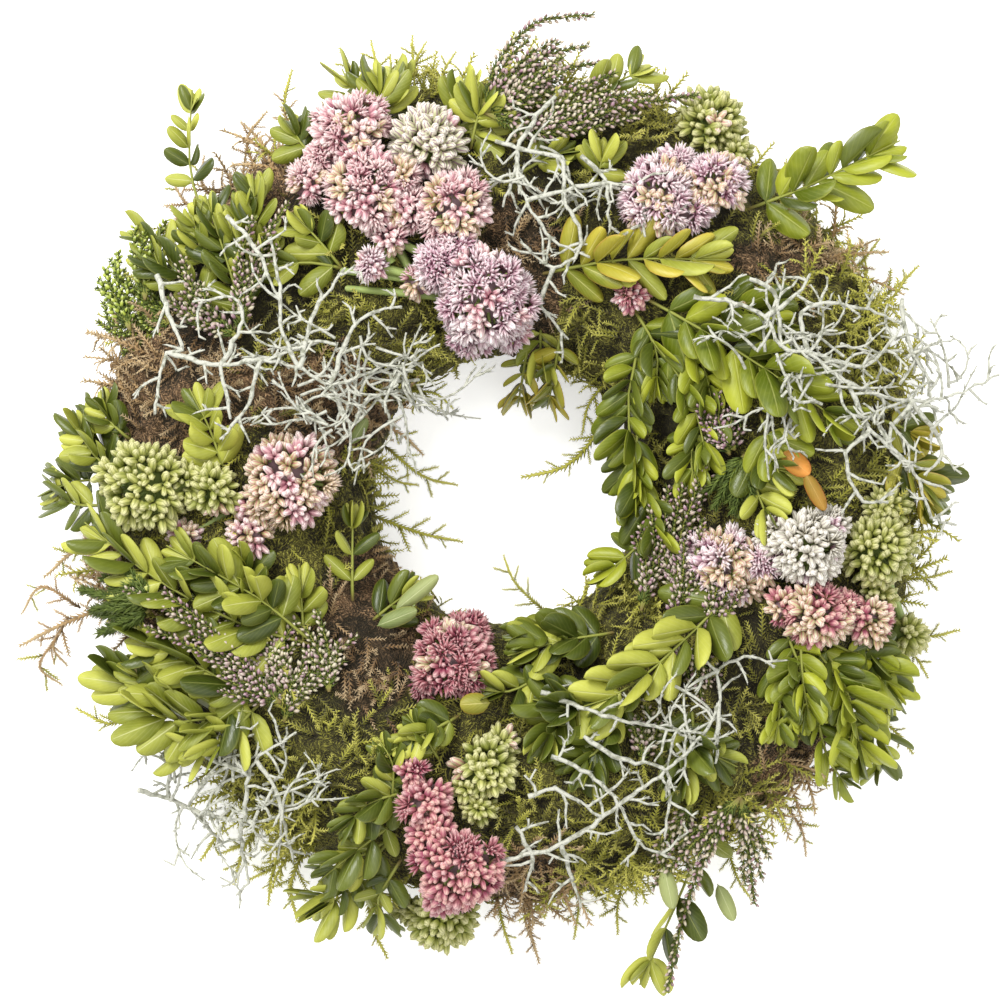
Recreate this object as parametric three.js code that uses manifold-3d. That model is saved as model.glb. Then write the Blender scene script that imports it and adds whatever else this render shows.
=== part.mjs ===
// An autumn wreath that lies flat on a table: a straw ring wound with binding wire, six moss
// pads wrapped over it, and box sprigs, stonecrop heads, heather and silver bush laid on the moss.
// Millimetres, +Z up. The origin is under the middle of the whole wreath, on the table.

import * as THREE from "three";
import Module from "manifold-3d";

const wasm = await Module();
wasm.setup();

// Driving dimensions
const RING_RADIUS = 110;
const STRAW_MIDDLE = 20;
const WIRE_RADIUS = 0.45;
const WIRE_TURNS = 8;
const WIRE_CLEARANCE = 0.3;
const WIRE_PINCH = 0.92;
const MOSS_HALF_WIDTH = 56;
const MOSS_RISE = 44;
const MOSS_BUMP = 4;
const MOSS_PADS = 6;
const CANOPY_HALF_WIDTH = 74;
const CANOPY_FOOT = 22;
const CANOPY_RISE = 42;
const STEEPEST = 0.85;
const STEM_RADIUS = 0.9;
const NODE_LENGTH = 2.4;
const TIP_REACH = 0.7;
const LEAF_THICKNESS = 1.1;
const SILVER_RADIUS = 1.05;
const SPIKE_RADIUS = 3.2;
const STALK_RADIUS = 2;
const HEAD_CORE = 0.72;

// How each spray settles: down from its place until it rests, or up until it is free
const SETTLE_STEP = 0.25;
const SETTLE_LOWEST = -40;
const TABLE_CLEARANCE = 0.6;
const CRUMB = 0.12;

const TURN = 2 * Math.PI;
const UP = new THREE.Vector3(0, 0, 1);

const COLOURS = {
  straw: 0xb89a62,
  wire: 0x4c5a45,
  mossGreen: 0x7d8438,
  mossBrown: 0x8d6243,
  boxBright: 0x7fa32b,
  boxLight: 0x9aae3d,
  boxDark: 0x4d6b25,
  boxOlive: 0xa89b2c,
  sedumWhite: 0xe3dcd6,
  sedumPink: 0xd9a3b1,
  sedumMagenta: 0xb0537c,
  sedumGreen: 0xa3b06a,
  heather: 0x9b8398,
  heatherGreen: 0x6f8a3a,
  silver: 0xc9cbc0,
};

// Small helpers

// A repeatable number from 0 to 1 for a whole number.
function chance(n) {
  const s = Math.sin(n * 12.9898 + 4.1) * 43758.5453;
  return s - Math.floor(s);
}

// The same, from -1 to 1.
function sway(n) {
  return 2 * chance(n) - 1;
}

// How far out of the ring's middle line a place is, as a share of the ground's half width.
function outShare(x, y) {
  return (Math.hypot(x, y) - RING_RADIUS) / CANOPY_HALF_WIDTH;
}

// Height of the arrangement's ground: a rounded ridge that runs round the ring.
function canopy(x, y) {
  const out = outShare(x, y);
  return CANOPY_FOOT + CANOPY_RISE * Math.sqrt(Math.max(0, 1 - out * out));
}

// The ground's upward direction, which leans outwards and inwards down the ridge's sides.
function groundUp(x, y) {
  const out = THREE.MathUtils.clamp(outShare(x, y), -STEEPEST, STEEPEST);
  const slope = (CANOPY_RISE / CANOPY_HALF_WIDTH) * (out / Math.sqrt(1 - out * out));
  return new THREE.Vector3(x, y, 0).normalize().multiplyScalar(slope).add(UP).normalize();
}

function onCanopy([x, y, lift = 0]) {
  return new THREE.Vector3(x, y, canopy(x, y) + lift);
}

// A closed solid from vertices and triangles, which are turned to face outwards if they don't.
function solidFrom(vertices, triangles) {
  const vertProperties = new Float32Array(vertices.flatMap((v) => v.toArray()));
  const build = (faces) => {
    const triVerts = new Uint32Array(faces.flat());
    return new wasm.Manifold(new wasm.Mesh({ numProp: 3, vertProperties, triVerts }));
  };
  const made = build(triangles);
  return made.volume() > 0 ? made : build(triangles.map(([a, b, c]) => [a, c, b]));
}

// The triangles of a grid of rings, each ring closed on itself, between ring i and ring i + 1.
function band(ringA, ringB) {
  return ringA.flatMap((a, j) => {
    const k = (j + 1) % ringA.length;
    return [
      [a, ringA[k], ringB[k]],
      [a, ringB[k], ringB[j]],
    ];
  });
}

// A tapered stem through the given points, closed at both ends.
function taperedStem(points, startRadius, endRadius, sides, ripple = () => 1) {
  const vertices = [];
  const rings = points.map((p, i) => {
    const along = points[Math.min(i + 1, points.length - 1)]
      .clone()
      .sub(points[Math.max(i - 1, 0)])
      .normalize();
    const side = new THREE.Vector3().crossVectors(along, UP).normalize();
    const over = new THREE.Vector3().crossVectors(side, along);
    const radius = THREE.MathUtils.lerp(startRadius, endRadius, i / (points.length - 1));
    return Array.from({ length: sides }, (_, j) => {
      const angle = (TURN * j) / sides + Math.PI / 2;
      const r = radius * ripple(i, j);
      vertices.push(
        p
          .clone()
          .addScaledVector(side, r * Math.cos(angle))
          .addScaledVector(over, r * Math.sin(angle)),
      );
      return vertices.length - 1;
    });
  });
  const triangles = rings.slice(1).flatMap((ring, i) => band(rings[i], ring));
  const first = rings[0];
  const last = rings[rings.length - 1];
  for (let j = 1; j < sides - 1; j++) {
    triangles.push([first[0], first[j + 1], first[j]]);
    triangles.push([last[0], last[j], last[j + 1]]);
  }
  return solidFrom(vertices, triangles);
}

// The largest single body of a solid: a loose scrap is dropped.
function wholeBody(solid) {
  const bodies = solid.decompose();
  return bodies.reduce((best, body) => (body.volume() > best.volume() ? body : best), bodies[0]);
}

function fuse(solids) {
  return wholeBody(wasm.Manifold.union(solids)).simplify(CRUMB);
}

// The wreath under construction
const wreath = new THREE.Group();
let laid = [];

function keep(name, solid, colour) {
  const mesh = solid.getMesh();
  const positions = new Float32Array(mesh.numVert * 3);
  for (let i = 0; i < mesh.numVert; i++) {
    positions.set(mesh.vertProperties.subarray(i * mesh.numProp, i * mesh.numProp + 3), i * 3);
  }
  const geometry = new THREE.BufferGeometry();
  geometry.setAttribute("position", new THREE.BufferAttribute(positions, 3));
  geometry.setIndex(new THREE.BufferAttribute(new Uint32Array(mesh.triVerts), 1));
  geometry.computeVertexNormals();
  const finish = { color: colour, roughness: 0.8, metalness: 0, flatShading: true };
  const material = new THREE.MeshStandardMaterial(finish);
  const node = new THREE.Mesh(geometry, material);
  node.name = name;
  wreath.add(node);
  laid.push(solid);
}

// Settles a spray: down on to what is already laid, or up to where it crosses nothing.
function lay(name, solid, colour) {
  const ground = wasm.Manifold.union(laid);
  laid = [ground];
  const isFree = (lift) => {
    const moved = solid.translate([0, 0, lift]);
    return moved.boundingBox().min[2] > TABLE_CLEARANCE && moved.intersect(ground).isEmpty();
  };
  let lift = 0;
  while (!isFree(lift)) {
    lift += SETTLE_STEP;
  }
  while (lift > SETTLE_LOWEST && isFree(lift - SETTLE_STEP)) {
    lift -= SETTLE_STEP;
  }
  keep(name, solid.translate([0, 0, lift]), colour);
}

// The straw ring, flat underneath and pinched by each turn of wire

const STRAW_SECTION = [
  [-18, 0],
  [18, 0],
  [30, 11],
  [30, 29],
  [14, 43],
  [-14, 43],
  [-30, 29],
  [-30, 11],
];
const COLUMNS_PER_TURN = 3;
const STRAW_COLUMNS = WIRE_TURNS * COLUMNS_PER_TURN;

// A point of the straw's section, pushed away from the section's middle, at a place along the ring.
function strawPoint(column, row, scale, outward = 0) {
  const [u, z] = STRAW_SECTION[row];
  const reach = Math.hypot(u, z - STRAW_MIDDLE);
  const grow = scale + outward / reach;
  const angle = (TURN * (column + (COLUMNS_PER_TURN * row) / STRAW_SECTION.length)) / STRAW_COLUMNS;
  const radius = RING_RADIUS + u * grow;
  return new THREE.Vector3(
    radius * Math.cos(angle),
    radius * Math.sin(angle),
    STRAW_MIDDLE + (z - STRAW_MIDDLE) * grow,
  );
}

function strawRing() {
  const rows = STRAW_SECTION.length;
  const vertices = [];
  for (let c = 0; c < STRAW_COLUMNS; c++) {
    for (let j = 0; j < rows; j++) {
      vertices.push(strawPoint(c, j, c % COLUMNS_PER_TURN === 0 ? WIRE_PINCH : 1));
    }
  }
  const at = (c, j) => {
    const column = (j === rows ? c + COLUMNS_PER_TURN : c) % STRAW_COLUMNS;
    return column * rows + (j % rows);
  };
  const triangles = [];
  for (let c = 0; c < STRAW_COLUMNS; c++) {
    for (let j = 0; j < rows; j++) {
      triangles.push([at(c, j), at(c + 1, j + 1), at(c + 1, j)]);
      triangles.push([at(c, j), at(c, j + 1), at(c + 1, j + 1)]);
    }
  }
  return solidFrom(vertices, triangles);
}

// The binding wire, one closed run that lies in the straw's pinches
function bindingWire() {
  const rows = STRAW_SECTION.length;
  const sides = 3;
  const vertices = [];
  const rings = [];
  for (let turn = 0; turn < WIRE_TURNS; turn++) {
    for (let j = 0; j < rows; j++) {
      const column = turn * COLUMNS_PER_TURN;
      const middle = strawPoint(column, j, WIRE_PINCH, WIRE_CLEARANCE + WIRE_RADIUS);
      const outward = strawPoint(column, j, WIRE_PINCH, 5).sub(middle).normalize();
      const around = new THREE.Vector3(-middle.y, middle.x, 0).normalize();
      rings.push(
        Array.from({ length: sides }, (_, k) => {
          const angle = (TURN * k) / sides;
          vertices.push(
            middle
              .clone()
              .addScaledVector(outward, WIRE_RADIUS * Math.cos(angle))
              .addScaledVector(around, WIRE_RADIUS * Math.sin(angle)),
          );
          return vertices.length - 1;
        }),
      );
    }
  }
  return solidFrom(vertices, rings.flatMap((ring, i) => band(ring, rings[(i + 1) % rings.length])));
}

// Moss pads

const PAD_COLUMNS = 8;
const PAD_ROWS = 8;
const PAD_START = -18;
const PAD_SWEEP = 216;
const PAD_GAP_DEGREES = 0.3;
const PAD_HOLLOW = [
  [-31.3, 7],
  [-31.3, 29.6],
  [-14.5, 44.3],
  [14.5, 44.3],
  [31.3, 29.6],
  [31.3, 7],
];
const WISPS_OUTER = 5;
const WISPS_INNER = 2;
const LONG_WISPS = [
  { pad: 0, from: [140, 72, 22], to: [168, 92, 10] },
  { pad: 0, from: [150, 12, 20], to: [183, 3, 8] },
  { pad: 1, from: [-24, 152, 20], to: [-28, 184, 10] },
  { pad: 2, from: [-84, 132, 20], to: [-88, 172, 12] },
  { pad: 3, from: [-150, -50, 22], to: [-203, -64, 9] },
  { pad: 3, from: [-104, -112, 20], to: [-126, -152, 6] },
  { pad: 4, from: [8, -156, 18], to: [12, -196, 6] },
  { pad: 5, from: [148, -50, 20], to: [185, -57, 10] },
  { pad: 5, from: [136, -84, 20], to: [172, -110, 8] },
];

// One moss wisp from a root inside the pad, curling on its way to its tip.
function wisp(root, tip, seed) {
  const from = new THREE.Vector3(...root);
  const to = new THREE.Vector3(...tip);
  const bend = 0.22 * from.distanceTo(to) * sway(seed);
  const around = new THREE.Vector3(from.y - to.y, to.x - from.x, 0).normalize();
  const middle = from.clone().lerp(to, 0.6).addScaledVector(around, bend).addScaledVector(UP, 3);
  return taperedStem([from, middle, to], 1.7, 0.5, 3);
}

// A wisp straight out of the pad's side, in or out, from the place that the seed picks.
function sideWisp(angle, side, seed) {
  const place = (radius, z) => [radius * Math.cos(angle), radius * Math.sin(angle), z];
  const z = 14 + 22 * chance(seed);
  const length = side > 0 ? 10 + 12 * chance(seed + 0.5) : 5 + 6 * chance(seed + 0.5);
  const rim = RING_RADIUS + side * MOSS_HALF_WIDTH * Math.sqrt(1 - ((z - STRAW_MIDDLE) / MOSS_RISE) ** 2);
  return wisp(place(rim - side * 9, z), place(rim + side * length, Math.max(5, z - 8)), seed + 0.2);
}

function mossPad(index) {
  const start = (TURN * index) / MOSS_PADS + THREE.MathUtils.degToRad(PAD_GAP_DEGREES);
  const sweep = TURN / MOSS_PADS - 2 * THREE.MathUtils.degToRad(PAD_GAP_DEGREES);
  const vertices = [];
  const rings = [];
  for (let c = 0; c <= PAD_COLUMNS; c++) {
    const angle = start + (sweep * c) / PAD_COLUMNS;
    const push = (u, z) => {
      const radius = RING_RADIUS + u;
      vertices.push(new THREE.Vector3(radius * Math.cos(angle), radius * Math.sin(angle), z));
      return vertices.length - 1;
    };
    const outer = Array.from({ length: PAD_ROWS + 1 }, (_, i) => {
      const phi = THREE.MathUtils.degToRad(PAD_START + (PAD_SWEEP * i) / PAD_ROWS);
      const edge = i === 0 || i === PAD_ROWS;
      const bump = edge ? 0 : MOSS_BUMP * sway(index * 131 + c * 17 + i * 3);
      const rise = (MOSS_RISE + bump) * Math.sin(phi);
      return push((MOSS_HALF_WIDTH + bump) * Math.cos(phi), STRAW_MIDDLE + rise);
    });
    rings.push([...outer, ...PAD_HOLLOW.map(([u, z]) => push(u, z))]);
  }
  const triangles = rings.slice(1).flatMap((ring, i) => band(rings[i], ring));
  const cap = (ring) => {
    const shape = ring.map((i) => {
      const { x, y, z } = vertices[i];
      return new THREE.Vector2(Math.hypot(x, y), z);
    });
    return THREE.ShapeUtils.triangulateShape(shape, []).map((t) => t.map((i) => ring[i]));
  };
  triangles.push(...cap(rings[0]).map(([a, b, c]) => [a, c, b]));
  triangles.push(...cap(rings[rings.length - 1]));
  const sideWisps = (count, side, seed) =>
    Array.from({ length: count }, (_, i) =>
      sideWisp(start + (sweep * (i + 0.5)) / count, side, index * 40 + seed + i),
    );
  const longWisps = LONG_WISPS.filter(({ pad }) => pad === index);
  return fuse([
    solidFrom(vertices, triangles),
    ...sideWisps(WISPS_OUTER, 1, 0),
    ...sideWisps(WISPS_INNER, -1, 20),
    ...longWisps.map(({ from, to }, i) => wisp(from, to, index * 40 + 30 + i)),
  ]);
}

// Box sprigs

// Draws a leaf out of four corners of a stem: a blade with a raised midrib and drooping rim.
// Its corners come in order: two on the stem's near ring, two on its far ring.
function drawLeaf(vertices, triangles, corners, { root, along, front, normal, length, width }) {
  const push = (x, y, z) => {
    vertices.push(
      root
        .clone()
        .addScaledVector(along, x * length)
        .addScaledVector(front, y * width)
        .addScaledVector(normal, z),
    );
    return vertices.length - 1;
  };
  const half = LEAF_THICKNESS / 2;
  const fold = 0.1 * width;
  const droop = 0.08 * length;
  const ribTop = push(0.42, 0, half);
  const ribUnder = push(0.42, 0, -half);
  const nearBack = push(0.3, -0.46, -fold);
  const nearFront = push(0.3, 0.46, -fold);
  const farBack = push(0.72, -0.42, -fold - 0.4 * droop);
  const farFront = push(0.72, 0.42, -fold - 0.4 * droop);
  const tip = push(1, 0, -droop);
  const isTopFirst = vertices[corners[1]].clone().sub(vertices[corners[0]]).dot(normal) > 0;
  const [first, second] = isTopFirst ? [ribTop, ribUnder] : [ribUnder, ribTop];
  const waist = [nearBack, first, nearFront, second];
  corners.forEach((corner, i) => {
    const j = (i + 1) % 4;
    triangles.push([corner, corners[j], waist[i]], [corners[j], waist[j], waist[i]]);
  });
  triangles.push([nearBack, first, farBack], [first, tip, farBack], [first, farFront, tip]);
  triangles.push([first, nearFront, farFront], [second, nearBack, farBack], [second, farBack, tip]);
  triangles.push([second, tip, farFront], [second, farFront, nearFront]);
}

// One leafy stem: opposite pairs, by turns spread flat and raised, narrower towards the tip.
function leafyStem({ path, pairs, leafLength, slim = 0.5, seed = 0, bare = 0.12 }) {
  const curve = new THREE.CatmullRomCurve3(path.map(onCanopy), false, "centripetal");
  const nodeLength = NODE_LENGTH / curve.getLength();
  const lastPair = 1 - (TIP_REACH * leafLength) / curve.getLength();
  const vertices = [];
  const triangles = [];
  const frameAt = (t) => {
    const { x, y } = curve.getPointAt(t);
    const along = curve.getTangentAt(t);
    const side = new THREE.Vector3().crossVectors(along, groundUp(x, y)).normalize();
    return { along, side, over: new THREE.Vector3().crossVectors(side, along) };
  };
  const ringAt = (t, radius) => {
    const { side, over } = frameAt(t);
    return [90, 210, 330].map((degrees) => {
      const angle = THREE.MathUtils.degToRad(degrees);
      vertices.push(
        curve
          .getPointAt(t)
          .addScaledVector(side, radius * Math.cos(angle))
          .addScaledVector(over, radius * Math.sin(angle)),
      );
      return vertices.length - 1;
    });
  };
  let last = ringAt(0, STEM_RADIUS * 1.3);
  triangles.push([last[0], last[2], last[1]]);
  for (let k = 0; k < pairs; k++) {
    const share = pairs === 1 ? 1 : k / (pairs - 1);
    const t = THREE.MathUtils.lerp(Math.min(bare, lastPair - 0.1), lastPair, share);
    const radius = STEM_RADIUS * THREE.MathUtils.lerp(1.2, 0.9, share);
    const near = ringAt(t, radius);
    const far = ringAt(t + nodeLength, radius);
    triangles.push(...band(last, near));
    last = far;
    triangles.push([near[1], near[2], far[2]], [near[1], far[2], far[1]]);
    const middle = t + nodeLength / 2;
    const { along, side, over } = frameAt(middle);
    const raise = THREE.MathUtils.degToRad((k % 2 === 0 ? 4 : 44) + 26 * share);
    for (const hand of [-1, 1]) {
      const mark = seed * 100 + k * 2 + (hand + 1) / 2;
      const spread = THREE.MathUtils.degToRad(THREE.MathUtils.lerp(58, 42, share) + 3 * sway(mark));
      const outward = side
        .clone()
        .multiplyScalar(hand * Math.cos(raise))
        .addScaledVector(over, Math.sin(raise));
      const ahead = along
        .clone()
        .multiplyScalar(Math.cos(spread))
        .addScaledVector(outward, Math.sin(spread));
      const normal = new THREE.Vector3().crossVectors(outward, along).multiplyScalar(hand).normalize();
      const length = leafLength * (1 - 0.25 * Math.abs(share - 0.45)) * (1 + 0.1 * sway(mark + 0.3));
      drawLeaf(
        vertices,
        triangles,
        hand > 0 ? [near[2], near[0], far[0], far[2]] : [near[0], near[1], far[1], far[0]],
        {
          root: curve.getPointAt(middle),
          along: ahead,
          front: new THREE.Vector3().crossVectors(normal, ahead).multiplyScalar(hand),
          normal,
          length,
          width: length * THREE.MathUtils.lerp(slim, Math.min(slim, 0.42), share),
        },
      );
    }
  }
  triangles.push(last);
  return solidFrom(vertices, triangles);
}

function boxBunch(stems) {
  return fuse(stems.map(leafyStem));
}

// Stonecrop heads

// A domed head of pointed florets: each face of a geodesic ball is raised to a bud.
function floretHead({ at, radius, fine = 1 }) {
  const ball = new THREE.IcosahedronGeometry(1, fine);
  const corners = ball.getAttribute("position");
  const middle = onCanopy(at);
  const turn = new THREE.Quaternion().setFromUnitVectors(UP, groundUp(at[0], at[1]));
  const place = (direction, reach) => {
    const flat = direction.z > 0 ? 0.78 : 0.4;
    return new THREE.Vector3(direction.x * reach, direction.y * reach, direction.z * reach * flat)
      .applyQuaternion(turn)
      .add(middle);
  };
  const keys = new Map();
  const vertices = [];
  const corner = (direction) => {
    const key = direction.toArray().map((v) => v.toFixed(4)).join();
    if (!keys.has(key)) {
      keys.set(key, vertices.length);
      vertices.push(place(direction, radius * HEAD_CORE));
    }
    return keys.get(key);
  };
  const triangles = [];
  for (let i = 0; i < corners.count; i += 3) {
    const points = [0, 1, 2].map((k) => new THREE.Vector3().fromBufferAttribute(corners, i + k));
    const [a, b, c] = points.map(corner);
    const centre = points[0].clone().add(points[1]).add(points[2]).normalize();
    if (centre.z < -0.05) {
      triangles.push([a, b, c]);
      continue;
    }
    const reach = radius * (1 + 0.07 * sway(i + radius));
    vertices.push(place(centre, reach));
    const tip = vertices.length - 1;
    triangles.push([a, b, tip], [b, c, tip], [c, a, tip]);
  }
  return solidFrom(vertices, triangles);
}

// Heads of one colour, joined below by their forked stalk.
function stonecrop(heads) {
  const parts = heads.map(floretHead);
  const points = heads.map(({ at, radius }) => onCanopy(at).addScaledVector(UP, -0.16 * radius));
  for (let i = 1; i < points.length; i++) {
    parts.push(taperedStem([points[i], points[0]], STALK_RADIUS, STALK_RADIUS, 4));
  }
  return fuse(parts);
}

// Heather

// One flower spike: a slim core whose rows of buds stand out by turns.
function heatherSpike({ path, bud = SPIKE_RADIUS }) {
  const points = path.map(onCanopy);
  const curve = new THREE.CatmullRomCurve3(points, false, "centripetal");
  const rows = Math.max(6, Math.round(curve.getLength() / 6));
  const buds = (i, j) => (i < 2 ? 0.35 : (i + j) % 2 === 0 ? 1 : 0.4);
  return taperedStem(curve.getSpacedPoints(rows), bud, bud * 0.45, 4, buds);
}

function heatherSpray(spikes) {
  return fuse(spikes.map(heatherSpike));
}

// Silver bush

function silverBranch(twigs) {
  return fuse(
    twigs.map((path) => taperedStem(path.map(onCanopy), SILVER_RADIUS * 1.1, SILVER_RADIUS * 0.8, 3)),
  );
}

// What lies on the wreath. Places are from the ring's axis: [x, y] and how far above its ground.

const BOX_UNDER = {
  box_sprigs_top: [
    {
      path: [[-50, 140, 2], [-60, 156, 3], [-67, 170, 9]],
      pairs: 2,
      leafLength: 18,
      bare: 0.3,
      seed: 1,
    },
    {
      path: [[-50, 140, 2], [-48, 156, 4], [-47, 172, 6]],
      pairs: 3,
      leafLength: 18,
      bare: 0.3,
      seed: 2,
    },
  ],
  box_sprigs_top_centre: [
    { path: [[-20, 142, 2], [-19, 154, 4], [-17, 166, 5]], pairs: 2, leafLength: 19, seed: 3 },
    { path: [[-20, 142, 2], [-10, 144, 3], [0, 147, 3]], pairs: 1, leafLength: 20, bare: 0.4, seed: 4 },
  ],
  box_sprig_top_right_edge: [
    { path: [[16, 142, 2], [38, 160, 8], [58, 170, 14]], pairs: 3, leafLength: 16, slim: 0.6, seed: 5 },
  ],
  box_sprigs_upper_left: [
    {
      path: [[-104, 66, 0], [-112, 92, 3], [-121, 118, 4]],
      pairs: 5,
      leafLength: 16,
      slim: 0.46,
      seed: 6,
    },
    {
      path: [[-104, 66, 0], [-100, 96, 2], [-102, 126, 3]],
      pairs: 5,
      leafLength: 16,
      slim: 0.46,
      bare: 0.3,
      seed: 7,
    },
    {
      path: [[-104, 66, 0], [-128, 84, 2], [-151, 106, 14]],
      pairs: 4,
      leafLength: 16,
      slim: 0.5,
      bare: 0.3,
      seed: 8,
    },
  ],
  box_sprig_upper_left_tip: [
    {
      path: [[-118, 98, 3], [-128, 130, 15], [-127, 161, 25]],
      pairs: 3,
      leafLength: 14,
      slim: 0.5,
      bare: 0.45,
      seed: 9,
    },
  ],
  box_sprigs_by_white_heads: [
    {
      path: [[-66, 88, 2], [-76, 100, 3], [-86, 110, 4]],
      pairs: 2,
      leafLength: 17,
      slim: 0.56,
      bare: 0.25,
      seed: 10,
    },
    {
      path: [[-66, 88, 2], [-80, 90, 3], [-94, 88, 3]],
      pairs: 1,
      leafLength: 17,
      slim: 0.45,
      seed: 11,
    },
  ],
  box_sprigs_left_outer: [
    {
      path: [[-148, 4, 0], [-163, 18, 2], [-174, 32, 2]],
      pairs: 3,
      leafLength: 16,
      slim: 0.6,
      bare: 0.3,
      seed: 12,
    },
    {
      path: [[-148, 4, 0], [-168, 4, 1], [-186, 2, 0]],
      pairs: 3,
      leafLength: 16,
      slim: 0.55,
      bare: 0.4,
      seed: 13,
    },
  ],
  box_sprig_left_centre: [
    {
      path: [[-112, 6, 2], [-118, 24, 5], [-126, 40, 8]],
      pairs: 3,
      leafLength: 19,
      slim: 0.58,
      seed: 14,
    },
  ],
  box_sprigs_bottom_dark: [
    { path: [[42, -96, 1], [22, -86, 3], [4, -82, 3]], pairs: 3, leafLength: 20, slim: 0.64, seed: 15 },
    {
      path: [[42, -96, 1], [32, -106, 2], [19, -109, 2]],
      pairs: 1,
      leafLength: 19,
      slim: 0.6,
      bare: 0.4,
      seed: 16,
    },
  ],
  box_sprigs_bottom_left: [
    {
      path: [[-47, -139, 2], [-58, -146, 3], [-70, -151, 3]],
      pairs: 1,
      leafLength: 20,
      slim: 0.58,
      bare: 0.3,
      seed: 17,
    },
    {
      path: [[-47, -139, 2], [-64, -161, 5], [-80, -172, 20]],
      pairs: 2,
      leafLength: 20,
      slim: 0.46,
      bare: 0.45,
      seed: 18,
    },
  ],
  box_sprig_bottom_left_inner: [
    {
      path: [[-20, -90, 2], [-32, -96, 3], [-46, -103, 3]],
      pairs: 3,
      leafLength: 14,
      slim: 0.6,
      seed: 19,
    },
  ],
  box_sprig_bottom_tip: [
    {
      path: [[82, -130, 2], [70, -160, 12], [53, -199, 26]],
      pairs: 3,
      leafLength: 18,
      slim: 0.5,
      seed: 20,
    },
  ],
  box_sprig_right_outer: [
    { path: [[150, 14, 0], [164, 6, 2], [177, -6, 1]], pairs: 3, leafLength: 19, slim: 0.5, seed: 21 },
  ],
  box_sprig_hole_left: [
    {
      path: [[-54, -52, -6], [-44, -44, -4], [-34, -38, -4]],
      pairs: 2,
      leafLength: 16,
      slim: 0.42,
      seed: 22,
    },
  ],
  box_sprig_hole_top: [
    {
      path: [[13, 66, -10], [13, 52, -12], [12, 44, -14]],
      pairs: 3,
      leafLength: 16,
      slim: 0.45,
      seed: 23,
    },
  ],
};

const HEADS = {
  sedum_white_top_left: [{ at: [-32, 138, 13], radius: 16 }],
  sedum_pink_top_left: [
    { at: [-56, 118, 5], radius: 17 },
    { at: [-62, 143, 4], radius: 16 },
    { at: [-22, 111, 4], radius: 16 },
    { at: [-79, 122, 3], radius: 10, fine: 0 },
  ],
  sedum_lilac_hole_edge: [
    { at: [-9, 77, 8], radius: 20 },
    { at: [-28, 89, 8], radius: 11, fine: 0 },
    { at: [-54, 89, 4], radius: 8, fine: 0 },
  ],
  sedum_pale_top_right: [
    { at: [60, 116, 8], radius: 17 },
    { at: [82, 122, 9], radius: 14 },
  ],
  sedum_green_top_right: [{ at: [81, 147, 6], radius: 15 }],
  sedum_green_left: [
    { at: [-143, 2, 10], radius: 19 },
    { at: [-117, 0, 9], radius: 12, fine: 0 },
  ],
  sedum_pink_left: [
    { at: [-86, 4, 9], radius: 19 },
    { at: [-103, -17, 2], radius: 11, fine: 0 },
  ],
  sedum_pink_left_edge: [{ at: [-164, -22, 4], radius: 9, fine: 0 }],
  sedum_white_right: [{ at: [118, -23, 12], radius: 16 }],
  sedum_pale_right: [{ at: [86, -29, 7], radius: 15 }],
  sedum_green_right: [
    { at: [147, -24, 8], radius: 16 },
    { at: [161, -58, -2], radius: 10, fine: 0 },
  ],
  sedum_pink_right: [
    { at: [122, -50, 3], radius: 14 },
    { at: [143, -52, 1], radius: 11, fine: 0 },
  ],
  sedum_magenta_hole_edge: [{ at: [-22, -68, 8], radius: 17 }],
  sedum_magenta_bottom: [
    { at: [-19, -149, 8], radius: 18 },
    { at: [-32, -124, 2], radius: 12, fine: 0 },
  ],
  sedum_green_bottom: [
    { at: [-9, -110, 7], radius: 14 },
    { at: [-12, -126, 7], radius: 8, fine: 0 },
  ],
  sedum_green_bottom_edge: [{ at: [-26, -172, 6], radius: 15 }],
  sedum_pink_small: [{ at: [49, 78, 4], radius: 9, fine: 0 }],
};
const HEAD_COLOUR = {
  white: COLOURS.sedumWhite,
  pink: COLOURS.sedumPink,
  lilac: COLOURS.sedumPink,
  pale: COLOURS.sedumPink,
  magenta: COLOURS.sedumMagenta,
  green: COLOURS.sedumGreen,
};

const HEATHER = {
  heather_top: [
    { path: [[-10, 150, 1], [-4, 170, 4], [12, 187, 22], [34, 190, 22]] },
    { path: [[-10, 150, 1], [4, 166, 3], [17, 174, 4], [32, 178, 8]] },
    { path: [[-10, 150, 1], [16, 142, 2], [44, 152, 3], [76, 158, 2]] },
    { path: [[-10, 150, 1], [12, 157, 3], [36, 163, 3]] },
  ],
  heather_upper_left: [
    { path: [[-106, 60, 1], [-103, 84, 3], [-93, 104, 4], [-87, 113, 3]] },
    { path: [[-106, 60, 1], [-122, 74, 2], [-129, 92, 2]] },
  ],
  heather_left_lower: [
    { path: [[-88, -84, 3], [-108, -58, 6], [-132, -46, 5], [-148, -40, 2]] },
    { path: [[-88, -84, 3], [-70, -66, 5], [-60, -58, 4]] },
    { path: [[-88, -84, 3], [-92, -66, 6], [-84, -52, 5]] },
  ],
  heather_right: [
    { path: [[68, -46, 1], [66, -26, 3], [62, -8, 3]] },
    { path: [[68, -46, 1], [68, -22, 3], [76, 4, 4], [82, 33, 3]] },
  ],
  heather_bottom_right: [
    { path: [[92, -122, 3], [78, -146, 5], [70, -172, 18], [64, -201, 14]] },
    { path: [[92, -122, 3], [96, -146, 4], [99, -166, 14]] },
    { path: [[92, -122, 3], [72, -142, 4], [58, -158, 1]] },
  ],
  scale_foliage_left: [
    { path: [[-134, 68, 2], [-154, 82, 2], [-162, 94, 0]], bud: 4 },
    { path: [[-134, 68, 2], [-158, 66, 1], [-164, 76, -2]], bud: 4 },
  ],
};

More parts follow.
